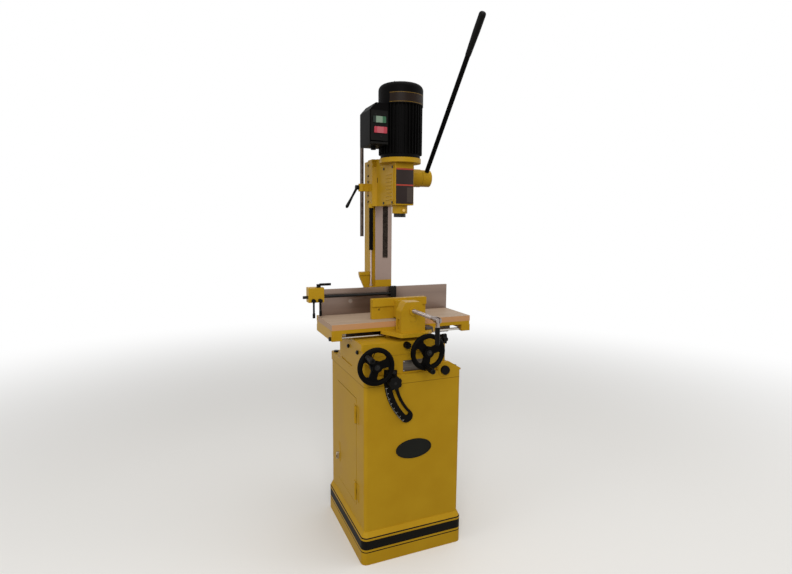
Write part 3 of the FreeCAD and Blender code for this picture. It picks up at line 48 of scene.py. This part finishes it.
orientation = Matrix((right, forward.cross(right) * -1, -forward)).transposed().to_4x4()
camera = bpy.data.objects.new("camera", bpy.data.cameras.new("camera"))
camera.data.lens = 23.06
camera.data.sensor_width = 36
camera.data.clip_end = 80
camera.matrix_world = Matrix.Translation(standpoint) @ orientation
bpy.context.scene.collection.objects.link(camera)
bpy.context.scene.camera = camera
bpy.context.scene.view_settings.view_transform = "Standard"


# Studio. Large soft lamps in front, at both sides and above, and an even pale surround that
# the camera and the glossy parts see at full white while it lights the machine more dimly.
def linear(colour):
    """The linear value of an sRGB hex colour."""
    channels = [int(colour[i:i + 2], 16) / 255 for i in (1, 3, 5)]
    return [c / 12.92 if c <= 0.04045 else ((c + 0.055) / 1.055) ** 2.4 for c in channels] + [1]


def node(owner, kind, sockets=None, **settings):
    """Adds one shader node with its settings, and fills its sockets or links them."""
    made = owner.node_tree.nodes.new("ShaderNode" + kind)
    stops = settings.pop("stops", None)
    for key, value in settings.items():
        setattr(made, key, value)
    for key, value in (sockets or {}).items():
        if isinstance(value, bpy.types.NodeSocket):
            owner.node_tree.links.new(value, made.inputs[key])
        else:
            made.inputs[key].default_value = value
    if stops:
        elements = made.color_ramp.elements
        while len(elements) < len(stops):
            elements.new(1)
        for element, (place, colour) in zip(elements, stops):
            element.position, element.color = place, linear(colour)
    return made


def maths(owner, operation, *values):
    """The output of one maths node."""
    return node(owner, "Math", dict(enumerate(values)), operation=operation).outputs[0]


def looked_at(owner):
    """A mask that is 1 for rays from the camera, from glossy parts and through glass."""
    rays = node(owner, "LightPath").outputs
    seen = maths(owner, "MAXIMUM", rays["Is Camera Ray"], rays["Is Glossy Ray"])
    return maths(owner, "MAXIMUM", seen, rays["Is Transmission Ray"])


world = bpy.data.worlds.new("surround")
bpy.context.scene.world = world
world.use_nodes = True
lit, shown = 0.42, 1.0
strength = node(world, "MapRange", {"Value": looked_at(world), "To Min": lit, "To Max": shown})
sky = world.node_tree.nodes["Background"]
sky.inputs["Color"].default_value = (1, 1, 1, 1)
world.node_tree.links.new(strength.outputs[0], sky.inputs["Strength"])

for lamp_name, place, aim, side, watts in (
        ("key_lamp", (-1.4, -3.4, 2.6), (0, -0.1, 0.8), 2.2, 70),
        ("left_lamp", (-3.4, -0.4, 1.1), (0, 0, 0.5), 1.8, 20),
        ("top_lamp", (0.3, -0.4, 4.0), (0, 0, 0.8), 2.4, 34),
        ("right_lamp", (3.2, -1.2, 2.0), (0, 0, 0.9), 2.0, 18)):
    lamp = bpy.data.objects.new(lamp_name, bpy.data.lights.new(lamp_name, "AREA"))
    lamp.data.size, lamp.data.energy = side, watts
    lamp.location = place
    lamp.rotation_euler = (Vector(aim) - Vector(place)).to_track_quat("-Z", "Y").to_euler()
    bpy.context.scene.collection.objects.link(lamp)

ground = bmesh.new()
bmesh.ops.create_circle(ground, cap_ends=True, segments=96, radius=20)
floor_mesh = bpy.data.meshes.new("studio_floor")
ground.to_mesh(floor_mesh)
ground.free()
floor = bpy.data.objects.new("studio_floor", floor_mesh)
bpy.context.scene.collection.objects.link(floor)
pale = bpy.data.materials.new("pale_floor")
pale.use_nodes = True
floor_mesh.materials.append(pale)
seen = looked_at(pale)
tone = node(pale, "ValToRGB", {"Fac": seen}, stops=((0, "#8c8a86"), (1, "#f3f1ed")))
matt = pale.node_tree.nodes["Principled BSDF"]
matt.inputs["Roughness"].default_value = 0.9
matt.inputs["Specular IOR Level"].default_value = 0.1
pale.node_tree.links.new(tone.outputs[0], matt.inputs["Base Color"])
# at these distances from the middle the floor starts and ends its fade into the white surround
fade_near, fade_far = 1.3, 4.5
away = node(pale, "VectorMath", {0: node(pale, "TexCoord").outputs["Object"]}, operation="LENGTH")
fade = node(pale, "MapRange", {"Value": away.outputs["Value"], "From Min": fade_near, "From Max": fade_far},
            interpolation_type="SMOOTHSTEP")
fade = maths(pale, "MULTIPLY", fade.outputs[0], seen)
glow = node(pale, "Emission", {"Color": (1, 1, 1, 1), "Strength": 1.0})
both = node(pale, "MixShader", {0: fade, 1: matt.outputs[0], 2: glow.outputs[0]})
pale.node_tree.links.new(both.outputs[0], pale.node_tree.nodes["Material Output"].inputs["Surface"])


# Plinth. A folded sheet-steel box with a floor plate, sprayed in mustard enamel, with a
# wide black band between two pinstripes masked round it.
def surface(name, tones, rough, fine, depth, cloud=0.11, stretch=(1, 1, 1), swell=0.0, metallic=0.0,
            level=0.25, edge=0.0008, spread=0.2):
    """A finish whose tone and gloss drift over a cloud of the given size, with a fine relief, and
    on castings a swell 14 mm long; it is drawn out along an axis where it is brushed or ground.
    Spread is how far apart the tones lie on the drift. Sizes are metres."""
    made = bpy.data.materials.new(name)
    made.use_nodes = True
    shader = made.node_tree.nodes["Principled BSDF"]
    place = node(made, "TexCoord").outputs["Object"]
    if stretch != (1, 1, 1):
        place = node(made, "Mapping", {"Vector": place, "Scale": stretch}).outputs[0]
    drift = node(made, "TexNoise", {"Vector": place, "Scale": 1 / cloud, "Detail": 3.0}).outputs[0]
    stops = [(0.5 + spread * (2 * step / (len(tones) - 1) - 1), tone) for step, tone in enumerate(tones)]
    tint = node(made, "ValToRGB", {"Fac": drift}, stops=stops)
    made.node_tree.links.new(tint.outputs[0], shader.inputs["Base Color"])
    gloss = node(made, "MapRange", {"Value": drift, "To Min": rough - 0.05, "To Max": rough + 0.07})
    made.node_tree.links.new(gloss.outputs[0], shader.inputs["Roughness"])
    skin = node(made, "Bevel", {"Radius": edge}, samples=4).outputs[0]
    for size, detail, height in ((0.014, 2.0, swell), (fine, 1.0, depth)):
        if height:
            waves = node(made, "TexNoise", {"Vector": place, "Scale": 1 / size, "Detail": detail})
            skin = node(made, "Bump", {"Height": waves.outputs[0], "Distance": height,
                                       "Normal": skin}).outputs[0]
    made.node_tree.links.new(skin, shader.inputs["Normal"])
    shader.inputs["Metallic"].default_value = metallic
    shader.inputs["Specular IOR Level"].default_value = level
    return made


def overlay(made, mask, colour, rough, metallic=0.0):
    """Lays a second finish over a material where the mask is 1."""
    shader = made.node_tree.nodes["Principled BSDF"]
    for name, value in (("Base Color", linear(colour)), ("Roughness", rough), ("Metallic", metallic)):
        socket = shader.inputs[name]
        under = socket.links[0].from_socket if socket.links else socket.default_value
        if name == "Base Color":
            mixed = node(made, "Mix", {0: mask, 6: under, 7: value}, data_type="RGBA").outputs[2]
        else:
            mixed = node(made, "Mix", {0: mask, 2: under, 3: value}).outputs[0]
        made.node_tree.links.new(mixed, socket)


def within(made, value, low, high):
    """A mask that is 1 where a value lies between two limits."""
    return maths(made, "COMPARE", value, (low + high) / 2, (high - low) / 2)


def slab(made, **spans):
    """A mask that is 1 between two coordinates on each named axis."""
    axes = node(made, "SeparateXYZ", {0: node(made, "TexCoord").outputs["Object"]}).outputs
    mask = None
    for axis, (low, high) in spans.items():
        inside = within(made, axes[axis], low, high)
        mask = inside if mask is None else maths(made, "MULTIPLY", mask, inside)
    return mask


def paint(made, colour, rough, metallic=0.0, **spans):
    """Lays a second finish over a material between two coordinates on each named axis."""
    overlay(made, slab(made, **spans), colour, rough, metallic)


def finish(material, *names):
    """Gives CAD nodes their material."""
    for name in names:
        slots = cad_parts[name].data.materials
        slots.clear()
        slots.append(material)


# Stoved mustard enamel on sheet steel: satin, even, with 3.5 mm orange peel that softens
# the reflections.
mustard = ("#b18718", "#b88f1d")
stoved = dict(tones=mustard, rough=0.40, fine=0.0035, depth=0.00006, level=0.08)
sheet_enamel = surface("mustard_enamel_on_sheet_steel", **stoved)
striped = surface("mustard_enamel_with_black_stripes", **stoved)
wide_band, upper_line, lower_line = (0.0565, 0.0895), (0.0966, 0.1004), (0.0451, 0.0489)
for stripe in (wide_band, upper_line, lower_line):
    paint(striped, "#0a0805", rough=0.5, Z=stripe)
finish(striped, "base_plinth")


# Cabinet. Welded sheet steel with a side door on lift-off hinges, in the same enamel, and
# a zinc-plated turn latch on a pressed plate.
def plate(shape, low, high, axis, corner, rim, steps=5):
    """Adds a plate between two corners, its outline rounded by corner and its edges by rim."""
    low, high = Vector(low), Vector(high)
    verts = bmesh.ops.create_cube(shape, size=1)["verts"]
    bmesh.ops.scale(shape, vec=high - low, verts=verts)
    bmesh.ops.translate(shape, vec=(low + high) / 2, verts=verts)
    fresh = set(verts)
    for turn in ("outline", "rim"):
        shape.normal_update()
        sides = [e for e in shape.edges if e.verts[0] in fresh and e.verts[1] in fresh]
        if turn == "outline":
            sides = [e for e in sides if abs((e.verts[0].co - e.verts[1].co)[axis]) > 1e-6]
        else:
            sides = [e for e in sides if abs((e.verts[0].co - e.verts[1].co)[axis]) < 1e-7
                     and any(abs(f.normal[axis]) > 0.9 for f in e.link_faces)]
        rounded = bmesh.ops.bevel(shape, geom=sides, offset=corner if turn == "outline" else rim,
                                  affect="EDGES", segments=steps if turn == "outline" else 2,
                                  profile=0.5, material=-1)
        fresh = {v for v in fresh if v.is_valid} | set(rounded["verts"])


def piece(name, shape, body, material):
    """Makes a finished mesh a visible piece that moves with a body."""
    sharp = math.radians(35)
    bmesh.ops.recalc_face_normals(shape, faces=shape.faces)
    mesh = bpy.data.meshes.new(name)
    shape.to_mesh(mesh)
    shape.free()
    mesh.shade_smooth()
    mesh.set_sharp_from_angle(angle=sharp)
    mesh.materials.append(material)
    made = bpy.data.objects.new(name, mesh)
    bpy.context.scene.collection.objects.link(made)
    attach(made, body)


# Zinc plating, dull and faintly mottled, with a dark reddish-brown patch painted over the latch's slot.
plated = dict(tones=("#b4aea2", "#c6c0b4"), rough=0.38, fine=0.002, depth=0.00002, cloud=0.02, metallic=1.0)
zinc = surface("zinc_plated_steel", **plated)
latch_finish = surface("zinc_plated_latch", **plated)
latch_slot = dict(X=(-0.198, -0.1955), Y=(0.095, 0.105), Z=(0.261, 0.273))
paint(latch_finish, "#3a1c14", rough=0.6, **latch_slot)
# painted shade: thin dark lines on the enamel beside the hinge barrels, where shade falls in the gaps
lower_barrel, upper_barrel, shade_line_width = (0.1965, 0.2595), (0.4850, 0.5480), 0.0022
for barrel in (lower_barrel, upper_barrel):
    for y in (-0.1209, -0.1085):
        paint(sheet_enamel, "#4f3708", rough=0.6, X=(-0.20, -0.18),
              Y=(y - shade_line_width / 2, y + shade_line_width / 2), Z=barrel)
finish(sheet_enamel, "cabinet_shell", "cabinet_door")
finish(latch_finish, "latch_knob")

# badge: a blank oval plate in dark enamel with a raised rim of the same
dark_enamel = surface("dark_enamel_plate", ("#0f0f0b", "#171812"), rough=0.36, fine=0.003, depth=0.00003,
                      level=0.12)
finish(dark_enamel, "badge_plate")
rim_width, rim_height, rim_sunk, rim_bevel = 0.0028, 0.0018, 0.0004, 0.0007
low, high = (Vector(corner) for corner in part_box("badge_plate"))
middle, half = (low + high) / 2, (high - low) / 2
rim = bmesh.new()
for inset in (0, rim_width):
    loop = bmesh.ops.create_circle(rim, cap_ends=False, segments=96, radius=1)["verts"]
    bmesh.ops.scale(rim, vec=(half.x - inset, half.z - inset, 1), verts=loop)
    bmesh.ops.rotate(rim, matrix=Matrix.Rotation(math.radians(90), 3, "X"), verts=loop)
    bmesh.ops.translate(rim, vec=(middle.x, low.y + rim_sunk, middle.z), verts=loop)
face = bmesh.ops.bridge_loops(rim, edges=rim.edges)["faces"]
raised = bmesh.ops.extrude_face_region(rim, geom=face, use_keep_orig=True)["geom"]
raised = [v for v in raised if isinstance(v, bmesh.types.BMVert)]
bmesh.ops.translate(rim, vec=(0, -rim_height, 0), verts=raised)
front = [e for e in rim.edges if all(v in raised for v in e.verts) and len(e.link_faces) == 2
         and abs(e.link_faces[0].normal.dot(e.link_faces[1].normal)) < 0.5]
bmesh.ops.bevel(rim, geom=front, offset=rim_bevel, affect="EDGES", segments=2, profile=0.5, material=-1)
piece("badge_rim", rim, "stand", dark_enamel)


# Base casting. Grey iron, filled and sprayed, so its skin rolls a little under the enamel;
# it is bolted to the cabinet with black socket screws.
cast = dict(tones=mustard, rough=0.36, fine=0.004, depth=0.00006, swell=0.00025, level=0.08)
cast_enamel = surface("mustard_enamel_on_cast_iron", **cast)
# Black oxide: a nearly black, slightly oily film on turned steel.
oxide = dict(tones=("#0b0907", "#120f0c"), rough=0.42, fine=0.0012, depth=0.00002, cloud=0.02, level=0.2)
black_oxide = surface("black_oxide_steel", **oxide)
# the same enamel, with a thin line of painted shade along the seam where the casting beds on the cabinet
seam_shaded = surface("cast_enamel_with_painted_seam_shade", **cast)
seam_shade_line = (0.6375, 0.6395)
paint(seam_shaded, "#6a4c0c", rough=0.6, Z=seam_shade_line)
finish(seam_shaded, "base_casting")
finish(black_oxide, "stand_fasteners")


# Column. An enamelled casting whose dovetail ways are ground bare for the head, with a
# toothed steel rack let into its face and a gas spring standing on its foot.
column_finish = surface("enamelled_column_with_ground_ways", **dict(cast, swell=0.0002))
ground_ways = dict(Y=(0.09, 0.1184), Z=(0.968, 1.43))
paint(column_finish, "#938076", rough=0.34, metallic=1.0, **ground_ways)
# Hardened rack and gear steel: dark grey with an oil film.
gear_steel = surface("oiled_gear_steel", ("#352d28", "#50463f"), rough=0.36, fine=0.0015, depth=0.00003,
                     cloud=0.015, metallic=1.0)
# Black stoving paint on steel and iron parts: satin, with a faint orange peel.
blacked = dict(tones=("#060505", "#0c0b0a"), rough=0.5, fine=0.003, depth=0.00005, level=0.03)
black_paint = surface("black_stoving_paint", **blacked)
# Hard-chromed rod, its bloom dulled by the oil film of the seal.
rod_chrome = surface("oiled_chrome_rod", ("#9a867c", "#a89489"), rough=0.24, fine=0.0015, depth=0.000008,
                     cloud=0.03, metallic=1.0)
finish(column_finish, "column")
finish(gear_steel, "column_rack")
finish(rod_chrome, "gas_spring_rod")
finish(black_paint, "gas_cylinder")


# Tilt. The cradle turns on a steel shaft with a black cap; a slotted, black quadrant with a
# white scale is bolted to it, and a moulded knob clamps it.
tilt_finish = surface("tilt_shaft_with_black_cap", ("#8d867e", "#a39c94"), rough=0.3, fine=0.0015,
                      depth=0.00002, metallic=1.0, level=0.08)
shaft_cap = (-0.22, -0.19)
paint(tilt_finish, "#090806", rough=0.45, Y=shaft_cap)
finish(tilt_finish, "tilt_shaft")

scaled = surface("black_paint_with_white_scale", **dict(blacked, rough=0.45, level=0.05))
tilt_x, tilt_z = 0.1165, 0.672
scale_outer, scale_face = 0.2336, (-0.2116, -0.2104)
scale_start, scale_end = math.radians(9.6), math.radians(45.4)
axes = node(scaled, "SeparateXYZ", {0: node(scaled, "TexCoord").outputs["Object"]}).outputs
across = maths(scaled, "SUBTRACT", tilt_x, axes["X"])
down = maths(scaled, "SUBTRACT", tilt_z, axes["Z"])
bearing = maths(scaled, "ARCTAN2", down, across)
arm = node(scaled, "CombineXYZ", {0: across, 1: down}).outputs[0]
reach = node(scaled, "VectorMath", {0: arm}, operation="LENGTH").outputs["Value"]
marks = []
for degrees, inner, thick in ((5, 0.226, 0.0024), (1, 0.2305, 0.0013)):
    off_mark = maths(scaled, "PINGPONG", bearing, math.radians(degrees / 2))
    line = maths(scaled, "LESS_THAN", off_mark, thick)
    for value, low, high in ((reach, inner, scale_outer), (bearing, scale_start, scale_end)):
        line = maths(scaled, "MULTIPLY", line, within(scaled, value, low, high))
    marks.append(line)
scale_mask = maths(scaled, "MULTIPLY", maths(scaled, "MAXIMUM", *marks), slab(scaled, Y=scale_face))
overlay(scaled, scale_mask, "#c9c4b8", rough=0.5)
finish(scaled, "tilt_quadrant")
# Phenolic and nylon mouldings: black, fairly glossy on edges, with a fine mould texture.
black_plastic = surface("moulded_black_plastic", ("#080706", "#0d0b0a"), rough=0.38, fine=0.0018,
                        depth=0.00003, level=0.08)
finish(black_plastic, "tilt_clamp_knob")


# Cradle. A hollow iron casting with the cross way planed across its top; set screws with
# lock nuts at the left press the gib, and a plain aluminium plate is riveted on its front.
def turned(shape, place, axis, profile, steps=32):
    """Adds a turned part: radii and heights spun round an axis that starts at place."""
    old = set(shape.verts)
    points = [shape.verts.new((radius, 0, height)) for radius, height in profile]
    wires = [shape.edges.new(pair) for pair in zip(points, points[1:])]
    bmesh.ops.spin(shape, geom=points + wires, cent=(0, 0, 0), axis=(0, 0, 1),
                   angle=2 * math.pi, steps=steps, use_merge=True)
    bmesh.ops.remove_doubles(shape, verts=[v for v in shape.verts if v not in old], dist=1e-6)
    verts = [v for v in shape.verts if v not in old]
    lean = Vector((0, 0, 1)).rotation_difference(Vector(axis)).to_matrix()
    bmesh.ops.rotate(shape, matrix=lean, verts=verts)
    bmesh.ops.translate(shape, vec=place, verts=verts)


finish(cast_enamel, "tilt_cradle")
finish(black_oxide, "cradle_fittings")
finish(gear_steel, "cross_screw")
# Brushed aluminium: grey, with fine lines drawn along the plate.
brushed = surface("brushed_aluminium_plate", ("#4e4842", "#645d56"), rough=0.4, fine=0.0012, depth=0.00003,
                  cloud=0.004, stretch=(0.03, 1, 1), metallic=1.0, edge=0.0003, spread=0.15)
shape = bmesh.new()
plate(shape, (-0.038, -0.1858, 0.676), (0.045, -0.1849, 0.716), axis=1, corner=0.003, rim=0.0002)
piece("cradle_name_plate", shape, "cradle", brushed)
shape = bmesh.new()
rivet = ((0, 0.0011), (0.0012, 0.0009), (0.0019, 0.0003), (0.0019, -0.0004), (0, -0.0004))
for x in (-0.0345, 0.0415):
    for z in (0.6795, 0.7125):
        turned(shape, (x, -0.1857, z), (0, -1, 0), rivet, steps=16)
piece("name_plate_rivets", shape, "cradle", zinc)


# Handwheels. Cast iron, turned on the rim and painted black, each with a moulded grip that
# turns on a pin, and held on its shaft by a flanged nut.
finish(black_paint, "cross_wheel", "table_wheel")
finish(black_plastic, "cross_crank", "table_crank")
flanged_nut = ((0, 0.006), (0.003, 0.006), (0.0045, 0.0048), (0.0052, 0.004), (0.0052, 0.0014),
               (0.0095, 0.0012), (0.0095, -0.0004), (0, -0.0004))
for name, hub, body in (("cross_wheel_nut", (-0.159, -0.252, 0.721), "cross_feed"),
                        ("table_wheel_nut", (0.0308, -0.252, 0.753), "table_feed")):
    shape = bmesh.new()
    turned(shape, hub, (0, -1, 0), flanged_nut)
    piece(name, shape, body, black_oxide)


# Saddle and table. Enamelled castings; the table carries the vise's tongue with a steel
# wear plate, and slides on the saddle along a bright guide rod, driven by rack and pinion.
finish(cast_enamel, "saddle", "table_casting")
finish(black_plastic, "lock_knob", "star_knob")
finish(gear_steel, "table_rack", "table_pinion")
polished = dict(tones=("#aaa39b", "#c6c1ba"), rough=0.2, fine=0.0015, depth=0.000008, cloud=0.03,
                stretch=(0.2, 1, 1), metallic=1.0)
rod_finish = surface("polished_guide_rod_with_black_nut", **dict(polished, level=0.08))
rod_nut = (-0.30, -0.2722)
paint(rod_finish, "#0b0a08", rough=0.4, X=rod_nut)
finish(rod_finish, "guide_rod")
wear_steel = surface("worn_grey_steel", ("#3c3835", "#524d49"), rough=0.4, fine=0.0015, depth=0.00002,
                     cloud=0.02, metallic=1.0)
shape = bmesh.new()
plate(shape, (0.0608, -0.1592, 0.8028), (0.0912, -0.1188, 0.8215), axis=2, corner=0.0028, rim=0.0005)
piece("tongue_wear_plate", shape, "table", wear_steel)


# Table board. Beech strips glued edge to edge and planed, with the grain along the table;
# oiled, redder on the front edge and darker on the end grain.
board = surface("planed_beech_strips", ("#a08872", "#b19a83", "#bda790"), rough=0.55, fine=0.0016,
                depth=0.00006, cloud=0.012, stretch=(0.06, 1, 1), level=0.2, edge=0.001, spread=0.25)
strip_width = 0.038
place = node(board, "SeparateXYZ", {0: node(board, "TexCoord").outputs["Object"]}).outputs
strip = maths(board, "FLOOR", maths(board, "MULTIPLY", place["Y"], 1 / strip_width))
shade = node(board, "TexWhiteNoise", {"W": strip}, noise_dimensions="1D").outputs["Value"]
shader = board.node_tree.nodes["Principled BSDF"]
grain = shader.inputs["Base Color"].links[0].from_socket
tone = node(board, "MapRange", {"Value": shade, "To Min": 0.94, "To Max": 1.04}).outputs[0]
toned = node(board, "VectorMath", {0: grain, "Scale": tone}, operation="SCALE").outputs[0]
board.node_tree.links.new(toned, shader.inputs["Base Color"])
front_edge, end_grain = (-0.112, -0.1106), (-0.2735, -0.2716)
paint(board, "#c29063", rough=0.5, Y=front_edge)
paint(board, "#a98d74", rough=0.6, X=end_grain)
finish(board, "table_board")


# Fence. A ground cast-iron bar, bare and oiled, screwed to two posts on the table.
# The posts are blacked, and the heads of the screws are bright.
ground_iron = surface("ground_cast_iron", ("#6f6058", "#8d7a6e"), rough=0.33, fine=0.0012, depth=0.00004,
                      cloud=0.03, stretch=(0.04, 1, 0.5), metallic=1.0)
finish(ground_iron, "fence")
post_finish = surface("black_posts_with_bright_screws", **oxide)
screw_heads = (0.078, 0.0815)
paint(post_finish, "#9c8f86", rough=0.35, metallic=1.0, Y=screw_heads)
finish(post_finish, "fence_fittings")


# Vise. Enamelled iron body and jaw on the tongue, worked by a turned steel screw whose
# folding bar has a black sleeve.
finish(cast_enamel, "vise_body", "vise_jaw")
machined = dict(tones=("#8f8480", "#a59a94"), rough=0.32, fine=0.0015, depth=0.00001, cloud=0.02,
                metallic=1.0)
screw_steel = surface("turned_steel_screw", **machined)
bar_finish = surface("steel_bar_in_black_sleeve", **dict(machined, level=0.08))
sleeve = (0.70, 0.8668)
paint(bar_finish, "#090807", rough=0.42, Z=sleeve)
finish(screw_steel, "vise_screw")
finish(bar_finish, "vise_handle")


# Work stop. An enamelled bracket at the table's end carries a black rod, which three small
# black levers set.
finish(cast_enamel, "stop_bracket")
finish(black_oxide, "stop_rod")
finish(black_plastic, "stop_top_lever", "stop_lever_left", "stop_lever_right")


# Head. An enamelled iron casting that slides on the column, with pressed covers at its
# sides, louvred for the chips, and a thin dark plate on its front.
slotted = surface("cast_enamel_with_painted_slot_shade", **cast)
# painted shade: a dark patch on the head's left face over the slot, standing for the shade inside it
shaded_slot = dict(X=(-0.0365, -0.0355), Y=(0.0728, 0.0792), Z=(1.3418, 1.3602))
paint(slotted, "#1a1206", rough=0.5, **shaded_slot)
finish(slotted, "head_casting")
finish(sheet_enamel, "head_covers")
screw_finish = surface("black_screws_and_brass_nose_screw", **dict(oxide, rough=0.4))
nose_screw = dict(Y=(-0.09, -0.08), Z=(1.22, 1.25))
paint(screw_finish, "#d8b060", rough=0.25, metallic=1.0, **nose_screw)
finish(screw_finish, "head_fittings")
finish(black_oxide, "chisel_bushing")
bright_steel = surface("polished_steel_bar", **polished)
finish(bright_steel, "chuck")

# front plate: dark, ruled in red across its middle and along its top, paler at its lower right
ruled = surface("dark_plate_with_red_rules", ("#2a211f", "#352b28"), rough=0.42, fine=0.003, depth=0.00002,
                level=0.12, edge=0.0003)
middle_rule, top_rule = (1.3212, 1.3260), (1.3766, 1.3812)
pale_field = dict(X=(0.009, 0.030), Z=(1.264, 1.316))
for rule in (middle_rule, top_rule):
    paint(ruled, "#b04638", rough=0.4, X=(-0.0325, 0.0325), Z=rule)
paint(ruled, "#4a4039", rough=0.4, **pale_field)
shape = bmesh.new()
plate(shape, (-0.0333, -0.0989, 1.259), (0.0333, -0.0980, 1.3815), axis=1, corner=0.0025, rim=0.0002)
piece("head_blank_plate", shape, "head", ruled)

louvre_top, louvre_pitch, louvre_half = 1.3630, 0.0126, 0.0024
for side, tag in ((-1, "left"), (1, "right")):
    shape = bmesh.new()
    inner, outer = sorted((side * 0.0385, side * 0.0408))
    for rib in range(8):
        z = louvre_top - louvre_pitch * rib
        plate(shape, (inner, -0.073, z - louvre_half), (outer, -0.019, z + louvre_half),
              axis=0, corner=0.0023, rim=0.0009)
    piece(tag + "_cover_louvres", shape, "head", sheet_enamel)


# Motor. A finned aluminium housing and a pressed fan cover, both black, with a guard of
# steel wire over the fan and a blank label round the front of the cover.
finish(black_paint, "motor_housing", "fan_cover")
cast_aluminium = surface("cast_aluminium", ("#8e8a86", "#a5a19d"), rough=0.45, fine=0.0015, depth=0.00006,
                         cloud=0.02, metallic=1.0)
lamination = surface("laminated_iron_stack", ("#4d4844", "#66605b"), rough=0.45, fine=0.0015,
                     depth=0.00004, stretch=(0.1, 0.1, 1), cloud=0.004, metallic=1.0)
finish(cast_aluminium, "motor_shield")
finish(lamination, "motor_stator", "motor_shaft")

motor_y = -0.056
label = surface("dark_label_with_gold_border", ("#1a1009", "#23160c"), rough=0.45, fine=0.003,
                depth=0.00002, level=0.1, edge=0.0002)
label_low, label_high, label_inner, label_outer = 1.5970, 1.6320, 0.0789, 0.0795
label_half_turn = math.radians(51.6)
border_inset, border_width = 0.002, 0.001
for border in ((label_low + border_inset, label_low + border_inset + border_width),
               (label_high - border_inset - border_width, label_high - border_inset)):
    paint(label, "#8a6a1c", rough=0.4, Z=border)
shape = bmesh.new()
corners = [shape.verts.new((0, motor_y - radius, z)) for radius, z in
           ((label_inner, label_low), (label_outer, label_low),
            (label_outer, label_high), (label_inner, label_high))]
wires = [shape.edges.new((corners[i - 1], corners[i])) for i in range(4)]
bmesh.ops.rotate(shape, matrix=Matrix.Rotation(-label_half_turn, 3, "Z"), cent=(0, motor_y, 0),
                 verts=corners)
bmesh.ops.spin(shape, geom=corners + wires, cent=(0, motor_y, 0), axis=(0, 0, 1),
               angle=2 * label_half_turn, steps=40)
bmesh.ops.holes_fill(shape, edges=shape.edges, sides=4)
piece("fan_cover_label", shape, "head", label)

# fan guard: four rings of wire on four flat arms
guard_z, wire_radius, arm_half = 1.6686, 0.0013, 0.0014
shape = bmesh.new()
for radius in (0.018, 0.030, 0.042, 0.054):
    verts = bmesh.ops.create_circle(shape, cap_ends=False, segments=10, radius=wire_radius)["verts"]
    edges = [e for e in shape.edges if e.verts[0] in verts and e.verts[1] in verts]
    bmesh.ops.rotate(shape, matrix=Matrix.Rotation(math.radians(90), 3, "X"), verts=verts)
    bmesh.ops.translate(shape, vec=(radius, motor_y, guard_z), verts=verts)
    bmesh.ops.spin(shape, geom=verts + edges, cent=(0, motor_y, 0), axis=(0, 0, 1),
                   angle=2 * math.pi, steps=48, use_merge=True)
for arm in range(4):
    old = set(shape.verts)
    plate(shape, (0.012, motor_y - arm_half, guard_z - 0.0010), (0.060, motor_y + arm_half, guard_z + 0.0014),
          axis=0, corner=0.0009, rim=0.0006, steps=2)
    bmesh.ops.rotate(shape, matrix=Matrix.Rotation(math.radians(45 + 90 * arm), 3, "Z"),
                     cent=(0, motor_y, 0), verts=[v for v in shape.verts if v not in old])
piece("fan_guard", shape, "head", black_paint)


# Switch. A black pressed box on the motor with a moulded plate, a green and a red key, and
# three screws sunk in the plate.
finish(black_paint, "switch_box")
plate_plastic = surface("moulded_switch_plate", ("#0c0b0a", "#13110f"), rough=0.42, fine=0.0015,
                        depth=0.00003, level=0.08)
finish(plate_plastic, "switch_panel")
moulded = dict(rough=0.35, fine=0.0015, depth=0.00002, level=0.3)
green = surface("moulded_green_plastic", ("#2c5a3c", "#356545"), **moulded)
red = surface("moulded_red_plastic", ("#a83341", "#b43f4b"), **moulded)
key_face, green_key_shadow = (-0.111, -0.1003), (-0.125, -0.1108)
# painted shadow: the green key's left end is dark green, for the shade that falls there
paint(green, "#0c1a12", rough=0.4, X=green_key_shadow)
# the key faces are painted paler: partly a painted highlight, partly standing for the white lettering on the
# real keys
paint(green, "#7d927d", rough=0.4, Y=key_face, X=(-0.1112, -0.0878))
paint(red, "#bb5a62", rough=0.4, Y=key_face, X=(-0.1072, -0.0838))
finish(green, "green_button")
finish(red, "red_button")
sunk_screw = ((0, 0.0006), (0.0014, 0.0006), (0.0018, 0.0016), (0.0027, 0.0012), (0.0027, -0.0005),
              (0, -0.0005))
shape = bmesh.new()
for x, z in ((-0.112, 1.5545), (-0.080, 1.5545), (-0.091, 1.483)):
    turned(shape, (x, -0.1018, z), (0, -1, 0), sunk_screw, steps=20)
piece("switch_plate_screws", shape, "head", black_oxide)


# Feed lever. A pinion shaft with an enamelled hub and a long black lever with a moulded
# grip; a black cap closes the hub's outer face.
finish(gear_steel, "feed_pinion")
finish(cast_enamel, "feed_hub")
finish(black_paint, "feed_lever")
finish(black_plastic, "lever_grip")
domed_cap = ((0, 0.0042), (0.006, 0.0038), (0.0105, 0.0024), (0.0120, 0.0004), (0.0120, -0.0004),
             (0, -0.0004))
shape = bmesh.new()
turned(shape, (0.1679, 0.0527, 1.363), (1, 0, 0), domed_cap)
piece("feed_hub_cap", shape, "feed", black_plastic)


# Depth stop. A dark oiled steel rod beside the head, carried by a boss on its left side
# and gripped there by a small black ratchet lever.
finish(gear_steel, "depth_rod")
finish(black_plastic, "depth_lever")
